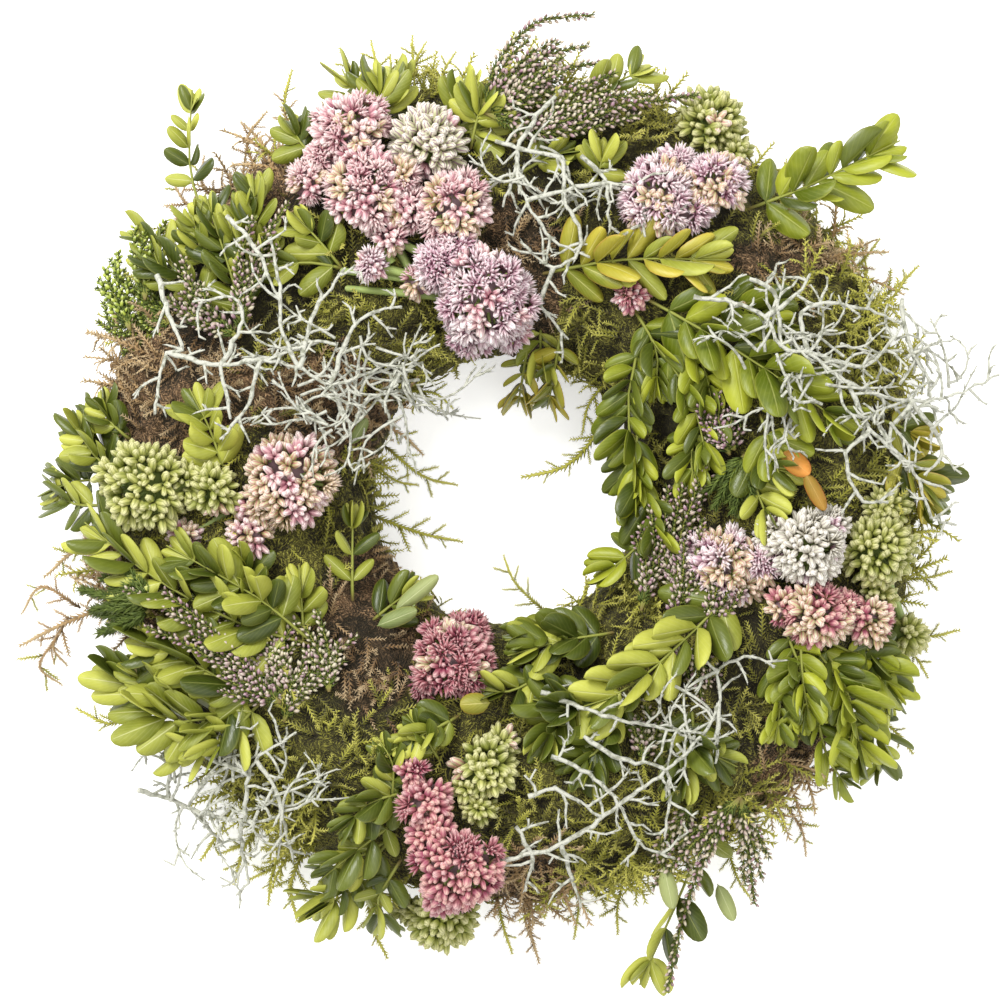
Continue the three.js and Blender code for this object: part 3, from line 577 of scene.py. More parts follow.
class Gathering:
    """Copies of modelled shapes, gathered into one piece of the wreath."""

    def __init__(self) -> None:
        """Starts an empty gathering."""
        self.shapes: list[Shape] = []
        self.tints: list[Array] = []
        self.finishes: list[Array] = []

    def add(self, shape: Shape, tint: float | Array = 0.5, finish: int = 0) -> None:
        """Adds one shape where it is.

        Args:
            shape: The shape.
            tint: Its place between its finish's two tones, one for all of it or one a point.
            finish: The number of its material slot.
        """
        self.shapes.append(shape)
        self.tints.append(np.broadcast_to(tint, len(shape.points)))
        self.finishes.append(np.full(len(shape.sizes), finish))

    def scatter(self, shape: Shape, spots: Spots, finish: int = 0) -> None:
        """Adds a copy of a shape at each spot.

        Args:
            shape: The shape.
            spots: Where the copies go.
            finish: The number of their material slot.
        """
        count = len(spots.places)
        if not count:
            return
        points = np.einsum("mij,nj->mni", spots.turns, shape.points) + spots.places[:, None]
        starts = np.arange(count)[:, None] * len(shape.points)
        copies = Shape(
            points.reshape(-1, 3), (shape.corners[None] + starts).ravel(), np.tile(shape.sizes, count),
            np.tile(shape.marks, (count, 1))
        )
        self.add(copies, np.repeat(spots.tints, len(shape.points)), finish)

    def lift_to(self, node: str) -> float:
        """Says how far up the gathering goes for its middle to be at a CAD node's."""
        low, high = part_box(node)
        heights = np.concatenate([s.points[:, 2] for s in self.shapes])
        middle = (heights.min() + heights.max()) / 2
        return float(min((low.z + high.z) / 2 / MM - middle, TALLEST - heights.max()))

    def piece(
        self, name: str, slot: str, materials: Sequence[bpy.types.Material], node: str = ""
    ) -> bpy.types.Object:
        """Makes the gathering one object in the frame, which rides on the wreath.

        Args:
            name: The piece's name.
            slot: The record's material slot for the piece; not used.
            materials: Its materials, in the order of their numbers.
            node: The CAD node that it is lifted to and stands for, if there is one.

        Returns:
            The new object.
        """
        whole = Shape.joined(self.shapes)
        lift = self.lift_to(node) if node else 0.0
        axis = np.array([*ring_axis(), 0])
        points = np.maximum(whole.points + [0, 0, lift], [-math.inf, -math.inf, 0]) * MM + axis
        mesh = bpy.data.meshes.new(name)
        mesh.vertices.add(len(points))
        mesh.vertices.foreach_set("co", points.ravel())
        mesh.loops.add(len(whole.corners))
        mesh.loops.foreach_set("vertex_index", whole.corners)
        mesh.polygons.add(len(whole.sizes))
        mesh.polygons.foreach_set("loop_start", np.cumsum(whole.sizes) - whole.sizes)
        mesh.polygons.foreach_set("material_index", np.concatenate(self.finishes))
        mesh.polygons.foreach_set("use_smooth", np.ones(len(whole.sizes), dtype=bool))
        mesh.uv_layers.new(name="marks").data.foreach_set("uv", whole.marks.ravel())
        tint = mesh.attributes.new("tint", "FLOAT", "POINT")
        tint.data.foreach_set("value", np.concatenate(self.tints))
        mesh.update(calc_edges=True)
        for material in materials:
            mesh.materials.append(material)
        made = placed(name, mesh)
        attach(made, BODY)
        if node:
            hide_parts(node)
        log.info("%s: %d triangles", name, (whole.sizes - 2).sum())
        return made


@dataclass(frozen=True)
class Stem:
    """One leafy stem: its path over the ridge, its leaf pairs and their size."""

    path: tuple[Point, ...]
    pairs: int
    leaf: float
    slim: float
    bare: float
    seed: int


@dataclass(frozen=True)
class Head:
    """One stonecrop head: its middle over the ridge, and its radius."""

    at: Point
    radius: float


def by(count: int, numbers: Sequence[float]) -> tuple[tuple[float, ...], ...]:
    """Takes numbers in groups of a count."""
    return tuple(zip(*[iter(numbers)] * count, strict=True))


def read_plan(text: str) -> list[tuple[list[str], list[list[float]]]]:
    """Reads a planting plan.

    Args:
        text: Name lines, each above its rows of numbers.

    Returns:
        The words of each name line, with the rows below it.
    """
    plan = []
    for words in (line.split() for line in text.strip().split("\n")):
        if words[0][0].isalpha():
            plan.append((words, []))
        else:
            plan[-1][1].append([float(word) for word in words])
    return plan


# The planting plan, in millimetres. A path is the x, the y and the lift over the ridge of
# each of its points.

# Bunches of box, those that lie low first. A name line has the tone, the other tone and its share, the
# shade and the first stem's seed. A stem has its leaf pairs, their length and slimness, its bare share
# and its path.
BOX_PLAN = """
box_sprigs_top light dark .3 .5 1
2 18 .5 .3  -50 140 2  -60 156 3  -67 170 9
3 18 .5 .3  -50 140 2  -48 156 4  -47 172 6
box_sprigs_top_centre light dark .3 .5 3
2 19 .5 .12  -20 142 2  -19 154 4  -17 166 5
1 20 .5 .4  -20 142 2  -10 144 3  0 147 3
box_sprig_top_right_edge light dark .3 .5 5
3 16 .6 .12  16 142 2  38 160 8  58 170 14
box_sprigs_upper_left light dark .3 .22 6
5 16 .46 .12  -104 66 0  -112 92 3  -121 118 4
5 16 .46 .3  -104 66 0  -100 96 2  -102 126 3
4 16 .5 .3  -104 66 0  -128 84 2  -151 106 14
box_sprig_upper_left_tip light dark .3 .5 9
3 14 .5 .45  -118 98 3  -128 130 15  -127 161 25
box_sprigs_by_white_heads light dark .3 .5 10
2 17 .56 .25  -66 88 2  -76 100 3  -86 110 4
1 17 .45 .12  -66 88 2  -80 90 3  -94 88 3
box_sprigs_left_outer dark dark .3 .5 12
3 16 .6 .3  -148 4 0  -163 18 2  -174 32 2
3 16 .55 .4  -148 4 0  -168 4 1  -186 2 0
box_sprig_left_centre light dark .3 .5 14
3 19 .58 .12  -112 6 2  -118 24 5  -126 40 8
box_sprigs_bottom_dark dark dark .3 .4 15
3 20 .64 .12  42 -96 1  22 -86 3  4 -82 3
1 19 .6 .4  42 -96 1  32 -106 2  19 -109 2
box_sprigs_bottom_left light dark .3 .5 17
1 20 .58 .3  -47 -139 2  -58 -146 3  -70 -151 3
2 20 .46 .45  -47 -139 2  -64 -161 5  -80 -172 20
box_sprig_bottom_left_inner light dark .3 .5 19
3 14 .6 .12  -20 -90 2  -32 -96 3  -46 -103 3
box_sprig_bottom_tip light dark .3 .5 20
3 18 .5 .12  82 -130 2  70 -160 12  53 -199 26
box_sprig_right_outer dark dark .3 .5 21
3 19 .5 .12  150 14 0  164 6 2  177 -6 1
box_sprig_hole_left light dark .3 .5 22
2 16 .42 .12  -54 -52 -6  -44 -44 -4  -34 -38 -4
box_sprig_hole_top light dark .3 .5 23
3 16 .45 .12  13 66 -10  13 52 -12  12 44 -14
box_sprigs_left_long light dark .3 .34 31
7 22 .44 .12  -76 -62 0  -108 -52 3  -140 -35 4  -169 -13 2
5 19 .5 .25  -76 -62 0  -97 -44 6  -117 -32 8  -135 -22 7
box_sprigs_left_lower light dark .3 .46 33
6 21 .48 .08  -98 -84 2  -123 -70 4  -151 -58 3
6 22 .52 .1  -98 -84 2  -133 -92 3  -163 -68 1
3 19 .46 .1  -98 -84 2  -118 -103 2  -140 -104 0
box_sprigs_right_lower bright dark .3 .6 36
3 18 .55 .3  116 -56 2  117 -76 5  121 -96 4
4 20 .5 .25  116 -56 2  134 -80 4  143 -112 10
3 19 .48 .4  116 -56 2  142 -68 2  157 -88 6
box_sprigs_hanging_inner bright dark .3 .5 39
8 18 .46 .12  54 64 2  48 36 2  52 4 2  63 -26 2
4 17 .5 .25  54 64 2  72 38 3  80 8 2
2 16 .42 .4  60 -14 1  46 -28 -3  35 -36 -6
box_sprig_turning_right bright dark .3 .5 42
1 21 .5 .3  100 30 2  104 16 3  108 4 3
box_sprig_right_arching bright dark .3 .4 43
6 24 .48 .12  53 77 4  89 56 7  113 40 8  138 22 6
box_sprig_bottom_bright light dark .3 .75 44
5 24 .46 .12  91 -38 3  69 -60 7  45 -80 7  29 -86 5
box_sprig_olive olive light .3 .5 45
5 23 .36 .12  14 86 4  45 91 7  88 91 6
box_sprig_top_right bright dark .3 .5 46
5 22 .52 .12  95 112 3  117 120 12  137 130 33  157 140 30
box_extra_upper_left light dark .4 .16 61
4 13 .46 .3  -117 82 0  -123 98 3  -126 113 3
4 14 .46 .3  -113 82 0  -107 102 3  -103 119 3
3 13 .5 .3  -107 80 0  -98 91 3  -93 104 2
3 13 .5 .3  -127 76 0  -137 86 3  -144 100 2
2 15 .55 .3  -76 132 1  -83 139 3  -87 149 3
box_extra_top light dark .35 .5 66
2 18 .46 .4  -45 144 1  -51 156 4  -54 167 5
2 19 .46 .4  -15 136 1  -12 149 4  -10 161 5
2 16 .5 .3  5 126 1  16 132 2  27 136 2
2 15 .5 .3  33 120 1  37 130 2  36 140 2
box_extra_right_inner bright dark .4 .5 70
4 16 .5 .2  50 72 1  59 55 2  58 35 1
4 17 .5 .2  64 69 1  77 50 2  82 30 1
4 18 .5 .2  77 76 1  96 71 3  113 61 3
4 18 .5 .2  91 62 1  107 47 3  117 32 2
4 17 .44 .2  53 28 0  50 8 1  53 -12 0
3 16 .46 .2  77 28 0  73 14 1  75 -2 0
box_extra_right_turning light dark .3 .5 76
2 19 .52 .2  94 17 2  104 9 5  117 6 6
2 17 .5 .2  96 8 2  100 -4 4  106 -18 4
box_extra_right_edge olive dark .3 .5 78
3 16 .42 .2  152 17 0  163 5 2  169 -12 0
2 15 .46 .2  149 28 0  159 24 2  167 17 1
box_extra_bottom_dark dark light .25 .5 80
4 19 .6 .15  42 -57 1  22 -60 4  0 -66 4
4 19 .58 .15  37 -80 1  21 -89 3  12 -109 2
4 18 .5 .2  53 -80 1  37 -98 2  31 -120 1
4 18 .5 .2  73 -84 1  73 -104 2  64 -124 1
3 17 .5 .2  53 -92 1  73 -101 3  91 -110 2
2 15 .6 .2  15 -73 3  0 -80 5  -12 -79 5
2 15 .6 .2  21 -51 0  13 -57 3  -1 -60 3
box_extra_right_lower bright dark .4 .5 87
5 15 .52 .1  110 -55 1  117 -76 4  115 -98 3
5 15 .52 .1  124 -60 2  135 -80 5  140 -101 4
4 16 .5 .1  136 -56 2  148 -69 4  155 -86 3
4 15 .5 .1  122 -84 1  127 -105 3  137 -120 3
3 15 .5 .1  141 -84 1  150 -100 2  150 -117 1
3 14 .5 .1  105 -68 1  108 -84 3  106 -101 2
box_extra_bottom_left dark light .4 .5 93
4 16 .55 .1  -40 -120 1  -54 -124 4  -68 -137 4
3 17 .5 .1  -45 -132 1  -62 -145 4  -76 -157 3
3 13 .5 .2  -46 -124 1  -46 -108 3  -52 -98 2
3 16 .42 .2  -55 -152 0  -67 -160 2  -83 -166 2
3 13 .5 .2  -43 -148 0  -52 -164 2  -49 -178 2
3 13 .55 .2  -27 -108 2  -33 -98 4  -40 -89 3
box_extra_left_outer dark light .4 .5 99
4 15 .52 .15  -156 5 0  -167 16 2  -175 30 2
3 15 .5 .2  -158 -6 0  -172 -6 2  -185 0 1
3 13 .55 .2  -151 20 0  -160 29 2  -163 40 1
box_extra_left_fill light dark .35 .5 102
4 16 .48 .1  -101 -48 0  -103 -34 3  -112 -22 4
2 19 .5 .2  -81 -60 0  -82 -44 3  -83 -30 3
2 14 .4 .2  -62 -44 0  -62 -28 2  -62 -6 1
4 18 .5 .15  -127 -92 0  -137 -80 3  -155 -71 2
3 17 .48 .2  -103 -100 0  -117 -98 3  -132 -102 2
box_extra_hole_top olive dark .2 .5 107
3 14 .45 .2  8 58 -4  6 46 -6  4 34 -8
3 14 .45 .2  21 64 -2  19 50 -4  16 33 -6
"""
# Stonecrop. Under each node is a row of its heads, and where there are some, a row of small ones
# between them. A head has its middle and its radius.
HEADS = {
    words[0]: [tuple(Head(four[:3], four[3]) for four in by(4, row)) for row in rows]
    for words, rows in read_plan("""
sedum_white_top_left
-32 138 13 16
sedum_pink_top_left
-56 118 5 17  -62 143 4 16  -22 111 4 16  -79 122 3 10  -73 132 3 9  -40 111 4 11  -57 131 6 10  -42 124 8 9
-47 100 4 9  -72 146 3 8  -36 82 3 8
sedum_lilac_hole_edge
-9 77 8 20  -28 89 8 11  -54 89 4 8  -20 96 6 10  1 64 2 10
-15 62 3 10
sedum_pale_top_right
60 116 8 17  82 122 9 14  72 112 8 11  67 130 7 9
sedum_green_top_right
81 147 6 15  91 136 5 9
sedum_green_left
-143 2 10 19  -117 0 9 12  -129 3 9 10
sedum_pink_left
-86 4 9 19  -103 -17 2 11  -98 -5 6 11
-128 -18 2 8
sedum_pink_left_edge
-164 -22 4 9
-158 -30 3 8
sedum_white_right
118 -23 12 16
106 -18 9 10  127 -14 9 9
sedum_pale_right
86 -29 7 15  101 -28 8 10
92 -38 5 10  76 -24 4 9
sedum_green_right
147 -24 8 16  161 -58 -2 10  147 -42 4 9
150 -8 6 11
sedum_pink_right
122 -50 3 14  143 -52 1 11  109 -46 2 9
133 -47 3 9
sedum_magenta_hole_edge
-22 -68 8 17  -16 -57 3 10
-32 -76 4 9
sedum_magenta_bottom
-19 -149 8 18  -32 -124 2 12  -30 -137 5 11
-26 -160 5 10  -38 -112 2 8
sedum_green_bottom
-9 -110 7 14  -12 -126 7 8
-3 -101 6 9  -16 -117 7 9
sedum_green_bottom_edge
-26 -172 6 15  -40 -170 3 8
sedum_pink_small
49 78 4 9
""")
}
# Heather, scale foliage and needles. A name line has the kind, the shade and the spray's number, and
# each row is a spike's path.
SPRAY_PLAN = """
heather_top heather .45 0
-10 150 1  -4 170 4  12 187 22  34 190 22
-10 150 1  4 166 3  17 174 4  32 178 8
-10 150 1  16 142 2  44 152 3  76 158 2
-10 150 1  12 157 3  36 163 3
heather_upper_left heather .5 1
-106 60 1  -103 84 3  -93 104 4  -87 113 3
-106 60 1  -122 74 2  -129 92 2
heather_left_lower heather .5 2
-88 -84 3  -108 -58 6  -132 -46 5  -148 -40 2
-88 -84 3  -70 -66 5  -60 -58 4
-88 -84 3  -92 -66 6  -84 -52 5
heather_right heather .4 3
68 -46 1  66 -26 3  62 -8 3
68 -46 1  68 -22 3  76 4 4  82 33 3
heather_bottom_right heather .5 4
92 -122 3  78 -146 5  70 -172 18  64 -201 14
92 -122 3  96 -146 4  99 -166 14
92 -122 3  72 -142 4  58 -158 1
scale_foliage_left scale .5 5
-134 68 2  -154 82 2  -162 94 0
-134 68 2  -158 66 1  -164 76 -2
heather_extra_right_pale heather .42 20
53 -48 3  58 -28 6  57 -6 6
64 -55 3  73 -34 8  77 -12 8
73 -60 2  85 -44 9  92 -22 9
57 -60 1  73 -68 2  77 -84 1
heather_extra_right_purple heather 0 21
88 14 2  84 24 7  83 38 7
90 16 2  88 22 6  89 32 6
heather_extra_left_over heather .3 22
-90 -84 8  -110 -66 15  -131 -49 17  -152 -39 14
-90 -84 8  -104 -76 14  -118 -62 14
heather_extra_left_dark heather .6 23
-83 -80 2  -93 -64 5  -107 -52 5
-71 -80 2  -71 -64 5  -76 -48 5
-89 -92 1  -83 -80 4  -65 -68 3
heather_extra_upper_left_edge green .6 24
-151 64 1  -156 80 2  -158 96 1
-145 76 1  -143 94 3  -137 108 2
heather_extra_top_left heather .6 25
-123 64 1  -126 76 4  -132 91 4
-107 76 2  -98 90 5  -95 106 5
heather_extra_top_dense heather .6 26
2 138 3  20 148 8  42 156 8  58 158 6
-4 146 3  6 158 7  22 168 7  38 171 5
heather_extra_bottom heather .6 27
73 -124 3  64 -140 3  61 -156 2
53 -108 2  56 -92 3  53 -80 2
needle_tuft_left needle .5 30
-142 -45 8  -155 -43 14  -170 -40 12
-142 -48 8  -153 -50 12  -165 -49 10
-142 -43 8  -150 -38 12  -161 -35 10
needle_tuft_right needle .5 31
94 14 2  88 4 5  82 -7 5
95 11 2  92 0 5  89 -9 5
"""
# Silver bush. Each row is a twig's path.
SILVER = {
    words[0]: [by(3, row) for row in rows]
    for words, rows in read_plan("""
silver_upper_left
-134 54 8  -113 49 10  -97 51 11  -82 48 11  -70 42 11  -45 50 8
-82 48 11  -89 64 12  -90 83 12  -94 99 10
-82 48 11  -76 70 12  -70 78 12  -64 87 10
-113 49 10  -104 67 12  -107 75 12  -124 74 10
-139 85 8  -133 68 9  -128 55 9  -134 54 8  -139 30 8
-113 49 10  -109 28 10
-97 51 11  -103 32 10  -113 20 9
-111 108 9  -99 95 12  -89 72 12
-70 42 11  -58 67 12  -42 72 9
-70 42 11  -62 26 9  -50 38 7
silver_top_centre
21 159 9  10 146 12  4 135 12  7 114 12  19 98 12  32 92 11
7 114 12  21 118 13  38 121 13  53 119 14  66 105 13
4 135 12  21 130 13  22 116 13  29 100 12  28 94 12  18 88 11  5 98 9
18 88 11  13 74 9  24 60 6
29 132 10  38 122 13  40 102 11
-5 138 10  4 135 12  -2 112 9
53 119 14  54 100 12
silver_right
73 76 8  88 74 10  101 68 11  108 56 11  118 54 11  134 42 10  160 35 8  178 38 16  196 46 22
101 68 11  113 76 11  119 85 9
95 83 8  104 78 10  108 56 11
118 54 11  116 71 11  134 73 11  157 66 10
157 76 8  157 66 10  161 53 9  170 42 8
118 54 11  141 49 10  157 66 10
134 42 10  143 24 9  161 7 8  168 -10 7  179 -14 6
160 35 8  173 16 7  165 6 8
143 24 9  133 14 9  140 -4 8  150 -5 7
160 35 8  150 20 8  158 8 8
silver_bottom
-3 -147 9  21 -140 9  44 -124 9  62 -111 9  77 -96 9  83 -84 9  83 -71 9  96 -66 8  105 -70 7
3 -133 8  9 -144 9  7 -159 7
21 -140 9  29 -166 6
8 -121 8  18 -118 9  37 -129 9
17 -105 9  29 -110 9  44 -124 9  53 -141 8  66 -146 7
30 -97 9  44 -106 9  62 -111 9  62 -137 7
13 -80 8  35 -88 9  55 -93 9  77 -96 9
83 -84 9  82 -108 7
83 -71 9  71 -78 8
silver_lower_left
-149 -121 16  -138 -125 8  -122 -130 6  -101 -132 9  -90 -130 9
-105 -132 9  -103 -113 11  -100 -107 11  -84 -96 10
-103 -113 11  -119 -107 9  -124 -104 7
-107 -132 9  -107 -149 6  -105 -158 10  -110 -164 8
-127 -129 7  -116 -143 5
-138 -125 6  -135 -112 6  -129 -108 6
-100 -107 11  -92 -120 10  -90 -130 9  -86 -148 6
""")
}


class Tone(StrEnum):
    """The finishes of the living pieces, by the record's material slots."""

    MOSS_GREEN = auto()
    MOSS_BROWN = auto()
    BOX_BRIGHT = auto()
    BOX_LIGHT = auto()
    BOX_DARK = auto()
    BOX_OLIVE = auto()
    FLORETS_WHITE = auto()
    FLORETS_PINK = auto()
    FLORETS_MAGENTA = auto()
    FLORETS_GREEN = auto()
    HEATHER = auto()
    SCALE_FOLIAGE = auto()
    SILVER_BUSH = auto()


def linear(shade: int) -> Colour:
    """Turns a colour written as RRGGBB into the linear one that a shader takes."""
    parts = [((shade >> shift) & 255) / 255 for shift in (16, 8, 0)]
    red, green, blue = (p / 12.92 if p <= 0.04045 else ((p + 0.055) / 1.055) ** 2.4 for p in parts)
    return red, green, blue, 1.0


Socket = bpy.types.NodeSocket
Feed = Socket | float | Colour


class Graph:
    """The nodes of a material or a group, under construction."""

    def __init__(self, tree: bpy.types.NodeTree) -> None:
        """Opens a node tree."""
        self.tree = tree

    def add(self, kind: str, **settings: object) -> bpy.types.Node:
        """Adds a node and sets its options."""
        made = self.tree.nodes.new(kind)
        for name, value in settings.items():
            setattr(made, name, value)
        return made

    def feed(self, socket: Socket, value: Feed) -> None:
        """Links a socket to another one, or sets it to a value."""
        if isinstance(value, Socket):
            self.tree.links.new(value, socket)
        else:
            socket.default_value = value

    def feed_all(self, node: bpy.types.Node, values: dict[str, Feed]) -> None:
        """Links or sets a node's inputs by their names."""
        for name, value in values.items():
            self.feed(node.inputs[name], value)

    def times(self, first: Feed, second: Feed) -> Socket:
        """Multiplies two numbers."""
        return self.maths("MULTIPLY", first, second)

    def maths(self, operation: str, first: Feed, second: Feed = 0.0) -> Socket:
        """Works out a number from one or two others."""
        made = self.add("ShaderNodeMath", operation=operation)
        self.feed(made.inputs[0], first)
        self.feed(made.inputs[1], second)
        return made.outputs[0]

    def mix(self, share: Feed, first: Feed, second: Feed) -> Socket:
        """Mixes two colours."""
        made = self.add("ShaderNodeMix", data_type="RGBA")
        self.feed(made.inputs[0], share)
        self.feed(made.inputs[6], first)
        self.feed(made.inputs[7], second)
        return made.outputs[2]

    def ease(self, value: Feed, low: float, high: float) -> Socket:
        """Goes smoothly from 0 at the low value to 1 at the high one."""
        made = self.add("ShaderNodeMapRange", interpolation_type="SMOOTHSTEP")
        self.feed_all(made, {"Value": value, "From Min": low, "From Max": high})
        return made.outputs[0]

    def grain(self, scale: Feed, detail: float = 2.0) -> Socket:
        """Gives a noise in the piece's own place."""
        made = self.add("ShaderNodeTexNoise")
        self.feed_all(made, {"Vector": self.place(), "Scale": scale, "Detail": detail})
        return made.outputs["Fac"]

    def place(self) -> Socket:
        """Gives a point's place on its piece."""
        return self.add("ShaderNodeTexCoord").outputs["Object"]

    def marks(self) -> tuple[Socket, Socket]:
        """Gives how far along and across its copy a point lies."""
        source = self.add("ShaderNodeUVMap", uv_map="marks")
        split = self.add("ShaderNodeSeparateXYZ")
        self.feed(split.inputs[0], source.outputs[0])
        return split.outputs[0], split.outputs[1]

    def tint(self) -> Socket:
        """Gives the tint of the copy that a point is on."""
        return self.add("ShaderNodeAttribute", attribute_name="tint").outputs["Fac"]

    def bump(self, height: Feed, strength: float, distance: float) -> Socket:
        """Turns a height into a normal."""
        made = self.add("ShaderNodeBump")
        self.feed_all(made, {"Strength": strength, "Distance": distance, "Height": height})
        return made.outputs[0]

    def group(self, group: bpy.types.NodeTree, inputs: dict[str, Feed]) -> bpy.types.Node:
        """Places a group with its own values."""
        made = self.add("ShaderNodeGroup", node_tree=group)
        self.feed_all(made, inputs)
        return made

    def tones(self, deep: int, fresh: int, tint: Feed, scale: float, vary: float) -> bpy.types.Node:
        """Places the group that varies a plant's colour."""
        ends = {"Deep": linear(deep), "Fresh": linear(fresh)}
        return self.group(plant_tones(), ends | {"Tint": tint, "Scale": scale, "Vary": vary})

    def shade(self, values: dict[str, Feed]) -> None:
        """Gives the shader its colour, its normal and the rest."""
        self.feed_all(self.tree.nodes["Principled BSDF"], values)


def new_group(name: str, inputs: dict[str, str], outputs: dict[str, str]) -> bpy.types.NodeTree:
    """Starts a node group with named sockets.

    Args:
        name: The group's name.
        inputs: Each input's name and kind of socket.
        outputs: Each output's name and kind of socket.

    Returns:
        The group, with only its input and output nodes in it.
    """
    group = bpy.data.node_groups.new(name, "ShaderNodeTree")
    for in_out, sockets in (("INPUT", inputs), ("OUTPUT", outputs)):
        for label, kind in sockets.items():
            group.interface.new_socket(name=label, in_out=in_out, socket_type=kind)
    group.nodes.new("NodeGroupInput")
    group.nodes.new("NodeGroupOutput")
    return group


NUMBER = "NodeSocketFloat"
SHADE = "NodeSocketColor"


def plant_tones() -> bpy.types.NodeTree:
    """Builds the group that varies a plant's colour: by copy, and with a soft mottle on each."""
    known = bpy.data.node_groups.get("plant_tones")
    if known:
        return known
    ins = {"Deep": SHADE, "Fresh": SHADE, "Tint": NUMBER, "Scale": NUMBER, "Vary": NUMBER}
    group = new_group("plant_tones", ins, {"Color": SHADE, "Height": NUMBER})
    graph = Graph(group)
    given = group.nodes["Group Input"].outputs
    taken = group.nodes["Group Output"].inputs
    mottle = graph.grain(given["Scale"], 3.0)
    swing = graph.maths("MULTIPLY", graph.maths("SUBTRACT", mottle, 0.5), given["Vary"])
    share = graph.maths("ADD", given["Tint"], swing)
    clamped = graph.add("ShaderNodeClamp")
    graph.feed(clamped.inputs[0], share)
    graph.feed(taken["Color"], graph.mix(clamped.outputs[0], given["Deep"], given["Fresh"]))
    graph.feed(taken["Height"], mottle)
    return group


def leaf_relief() -> bpy.types.NodeTree:
    """Builds the group that finds a leaf's rib, side veins and rim from its marks."""
    known = bpy.data.node_groups.get("leaf_relief")
    if known:
        return known
    outs = {"Rib": NUMBER, "Vein": NUMBER, "Rim": NUMBER}
    group = new_group("leaf_relief", {"Along": NUMBER, "Across": NUMBER}, outs)
    graph = Graph(group)
    given = group.nodes["Group Input"].outputs
    taken = group.nodes["Group Output"].inputs
    aside = graph.maths("ABSOLUTE", graph.maths("SUBTRACT", given["Across"], 0.5))
    width = graph.maths("SUBTRACT", 0.055, graph.times(given["Along"], 0.03))
    beside = graph.ease(graph.maths("DIVIDE", aside, width), 0.3, 1.0)
    graph.feed(taken["Rib"], graph.maths("SUBTRACT", 1.0, beside))
    slant = graph.maths("SUBTRACT", graph.times(given["Along"], 58.0), graph.times(aside, 42.0))
    graph.feed(taken["Vein"], graph.ease(graph.maths("SINE", slant), 0.3, 1.0))
    graph.feed(taken["Rim"], graph.ease(aside, 0.42, 0.5))
    return group


class Finish:
    """A finish, which builds its own material."""

    def paint(self, graph: Graph) -> None:
        """Lays the nodes that feed the material's shader."""

    def material(self, name: str) -> bpy.types.Material:
        """Builds the material."""
        made = bpy.data.materials.new(name)
        made.use_nodes = True
        self.paint(Graph(made.node_tree))
        return made


@dataclass(frozen=True)
class LeafFinish(Finish):
    """A box leaf's skin: two tones, a pale rib, faint side veins and a thin rim."""

    deep: int
    fresh: int
    rib: int
    rib_share: float
    rim: int
    roughness: float = 0.42
    rim_share: float = 0.35

    def paint(self, graph: Graph) -> None:
        """Lays the tones, and the veins, the rim and the rib over them."""
        along, across = graph.marks()
        # Painted shade: each leaf is darker towards its foot and lighter towards its tip
        tint = graph.maths("ADD", graph.tint(), graph.times(graph.maths("SUBTRACT", along, 0.5), 0.5))
        tones = graph.tones(self.deep, self.fresh, tint, 190.0, 0.55)
        relief = graph.group(leaf_relief(), {"Along": along, "Across": across}).outputs
        colour = tones.outputs["Color"]
        for part, share, shade in (
            ("Vein", 0.06, self.rib), ("Rim", self.rim_share, self.rim), ("Rib", self.rib_share, self.rib)
        ):
            colour = graph.mix(graph.times(relief[part], share), colour, linear(shade))
        height = graph.maths("ADD", graph.times(relief["Rib"], -0.6), graph.times(relief["Vein"], -0.08))
        height = graph.maths("ADD", height, graph.times(tones.outputs["Height"], 0.5))
        normal = graph.bump(height, 0.5, 0.0004)
        graph.shade({"Base Color": colour, "Normal": normal})
        graph.shade({"Roughness": self.roughness, "Specular IOR Level": 0.42})


STREAKS = 5


@dataclass(frozen=True)
class GradedFinish(Finish):
    """A skin that goes from a foot tone through a varied body to a tip tone."""

    foot: int
    deep: int
    fresh: int
    tip: int
    foot_end: float = 0.35
    tip_start: float = 0.6
    tip_share: float = 0.8
    roughness: float = 0.6
    sheen: float = 0.0
    scale: float = 260.0
    vary: float = 0.6
    relief: float = 0.0002
    streak: int = 0xFFFFFF
    streak_share: float = 0.0

    def paint(self, graph: Graph) -> None:
        """Lays the body between the foot and the tip, and streaks over it if it has any."""
        along, across = graph.marks()
        tones = graph.tones(self.deep, self.fresh, graph.tint(), self.scale, self.vary)
        body = graph.mix(graph.ease(along, 0.0, self.foot_end), linear(self.foot), tones.outputs["Color"])
        tip = graph.times(graph.ease(along, self.tip_start, 1.0), self.tip_share)
        tipped = graph.mix(tip, body, linear(self.tip))
        if self.streak_share:
            wave = graph.maths("SINE", graph.times(across, STREAKS * TURN))
            streak = graph.times(graph.ease(wave, 0.2, 0.9), self.streak_share)
            tipped = graph.mix(streak, tipped, linear(self.streak))
        graph.shade({"Base Color": tipped, "Normal": graph.bump(graph.grain(1400.0), 0.5, self.relief)})
        graph.shade({"Roughness": self.roughness, "Sheen Weight": self.sheen, "Specular IOR Level": 0.3})


@dataclass(frozen=True)
class FeltFinish(Finish):
    """Silver bush's white felt, with the grey-green bark showing through in places."""

    felt: int = 0xBEBEAE
    flock: int = 0xE6E6DA
    bark: int = 0x7A7C64

    def paint(self, graph: Graph) -> None:
        """Lays the flock, worn down to the bark in places."""
        worn = graph.ease(graph.grain(420.0, 3.0), 0.46, 0.66)
        flock = graph.grain(1900.0, 3.0)
        pale = graph.mix(graph.times(flock, 0.5), linear(self.felt), linear(self.flock))
        colour = graph.mix(graph.times(worn, 0.75), pale, linear(self.bark))
        graph.shade({"Base Color": colour, "Normal": graph.bump(flock, 0.9, 0.0005)})
        graph.shade({"Roughness": 0.9, "Sheen Weight": 0.25, "Sheen Roughness": 0.6})


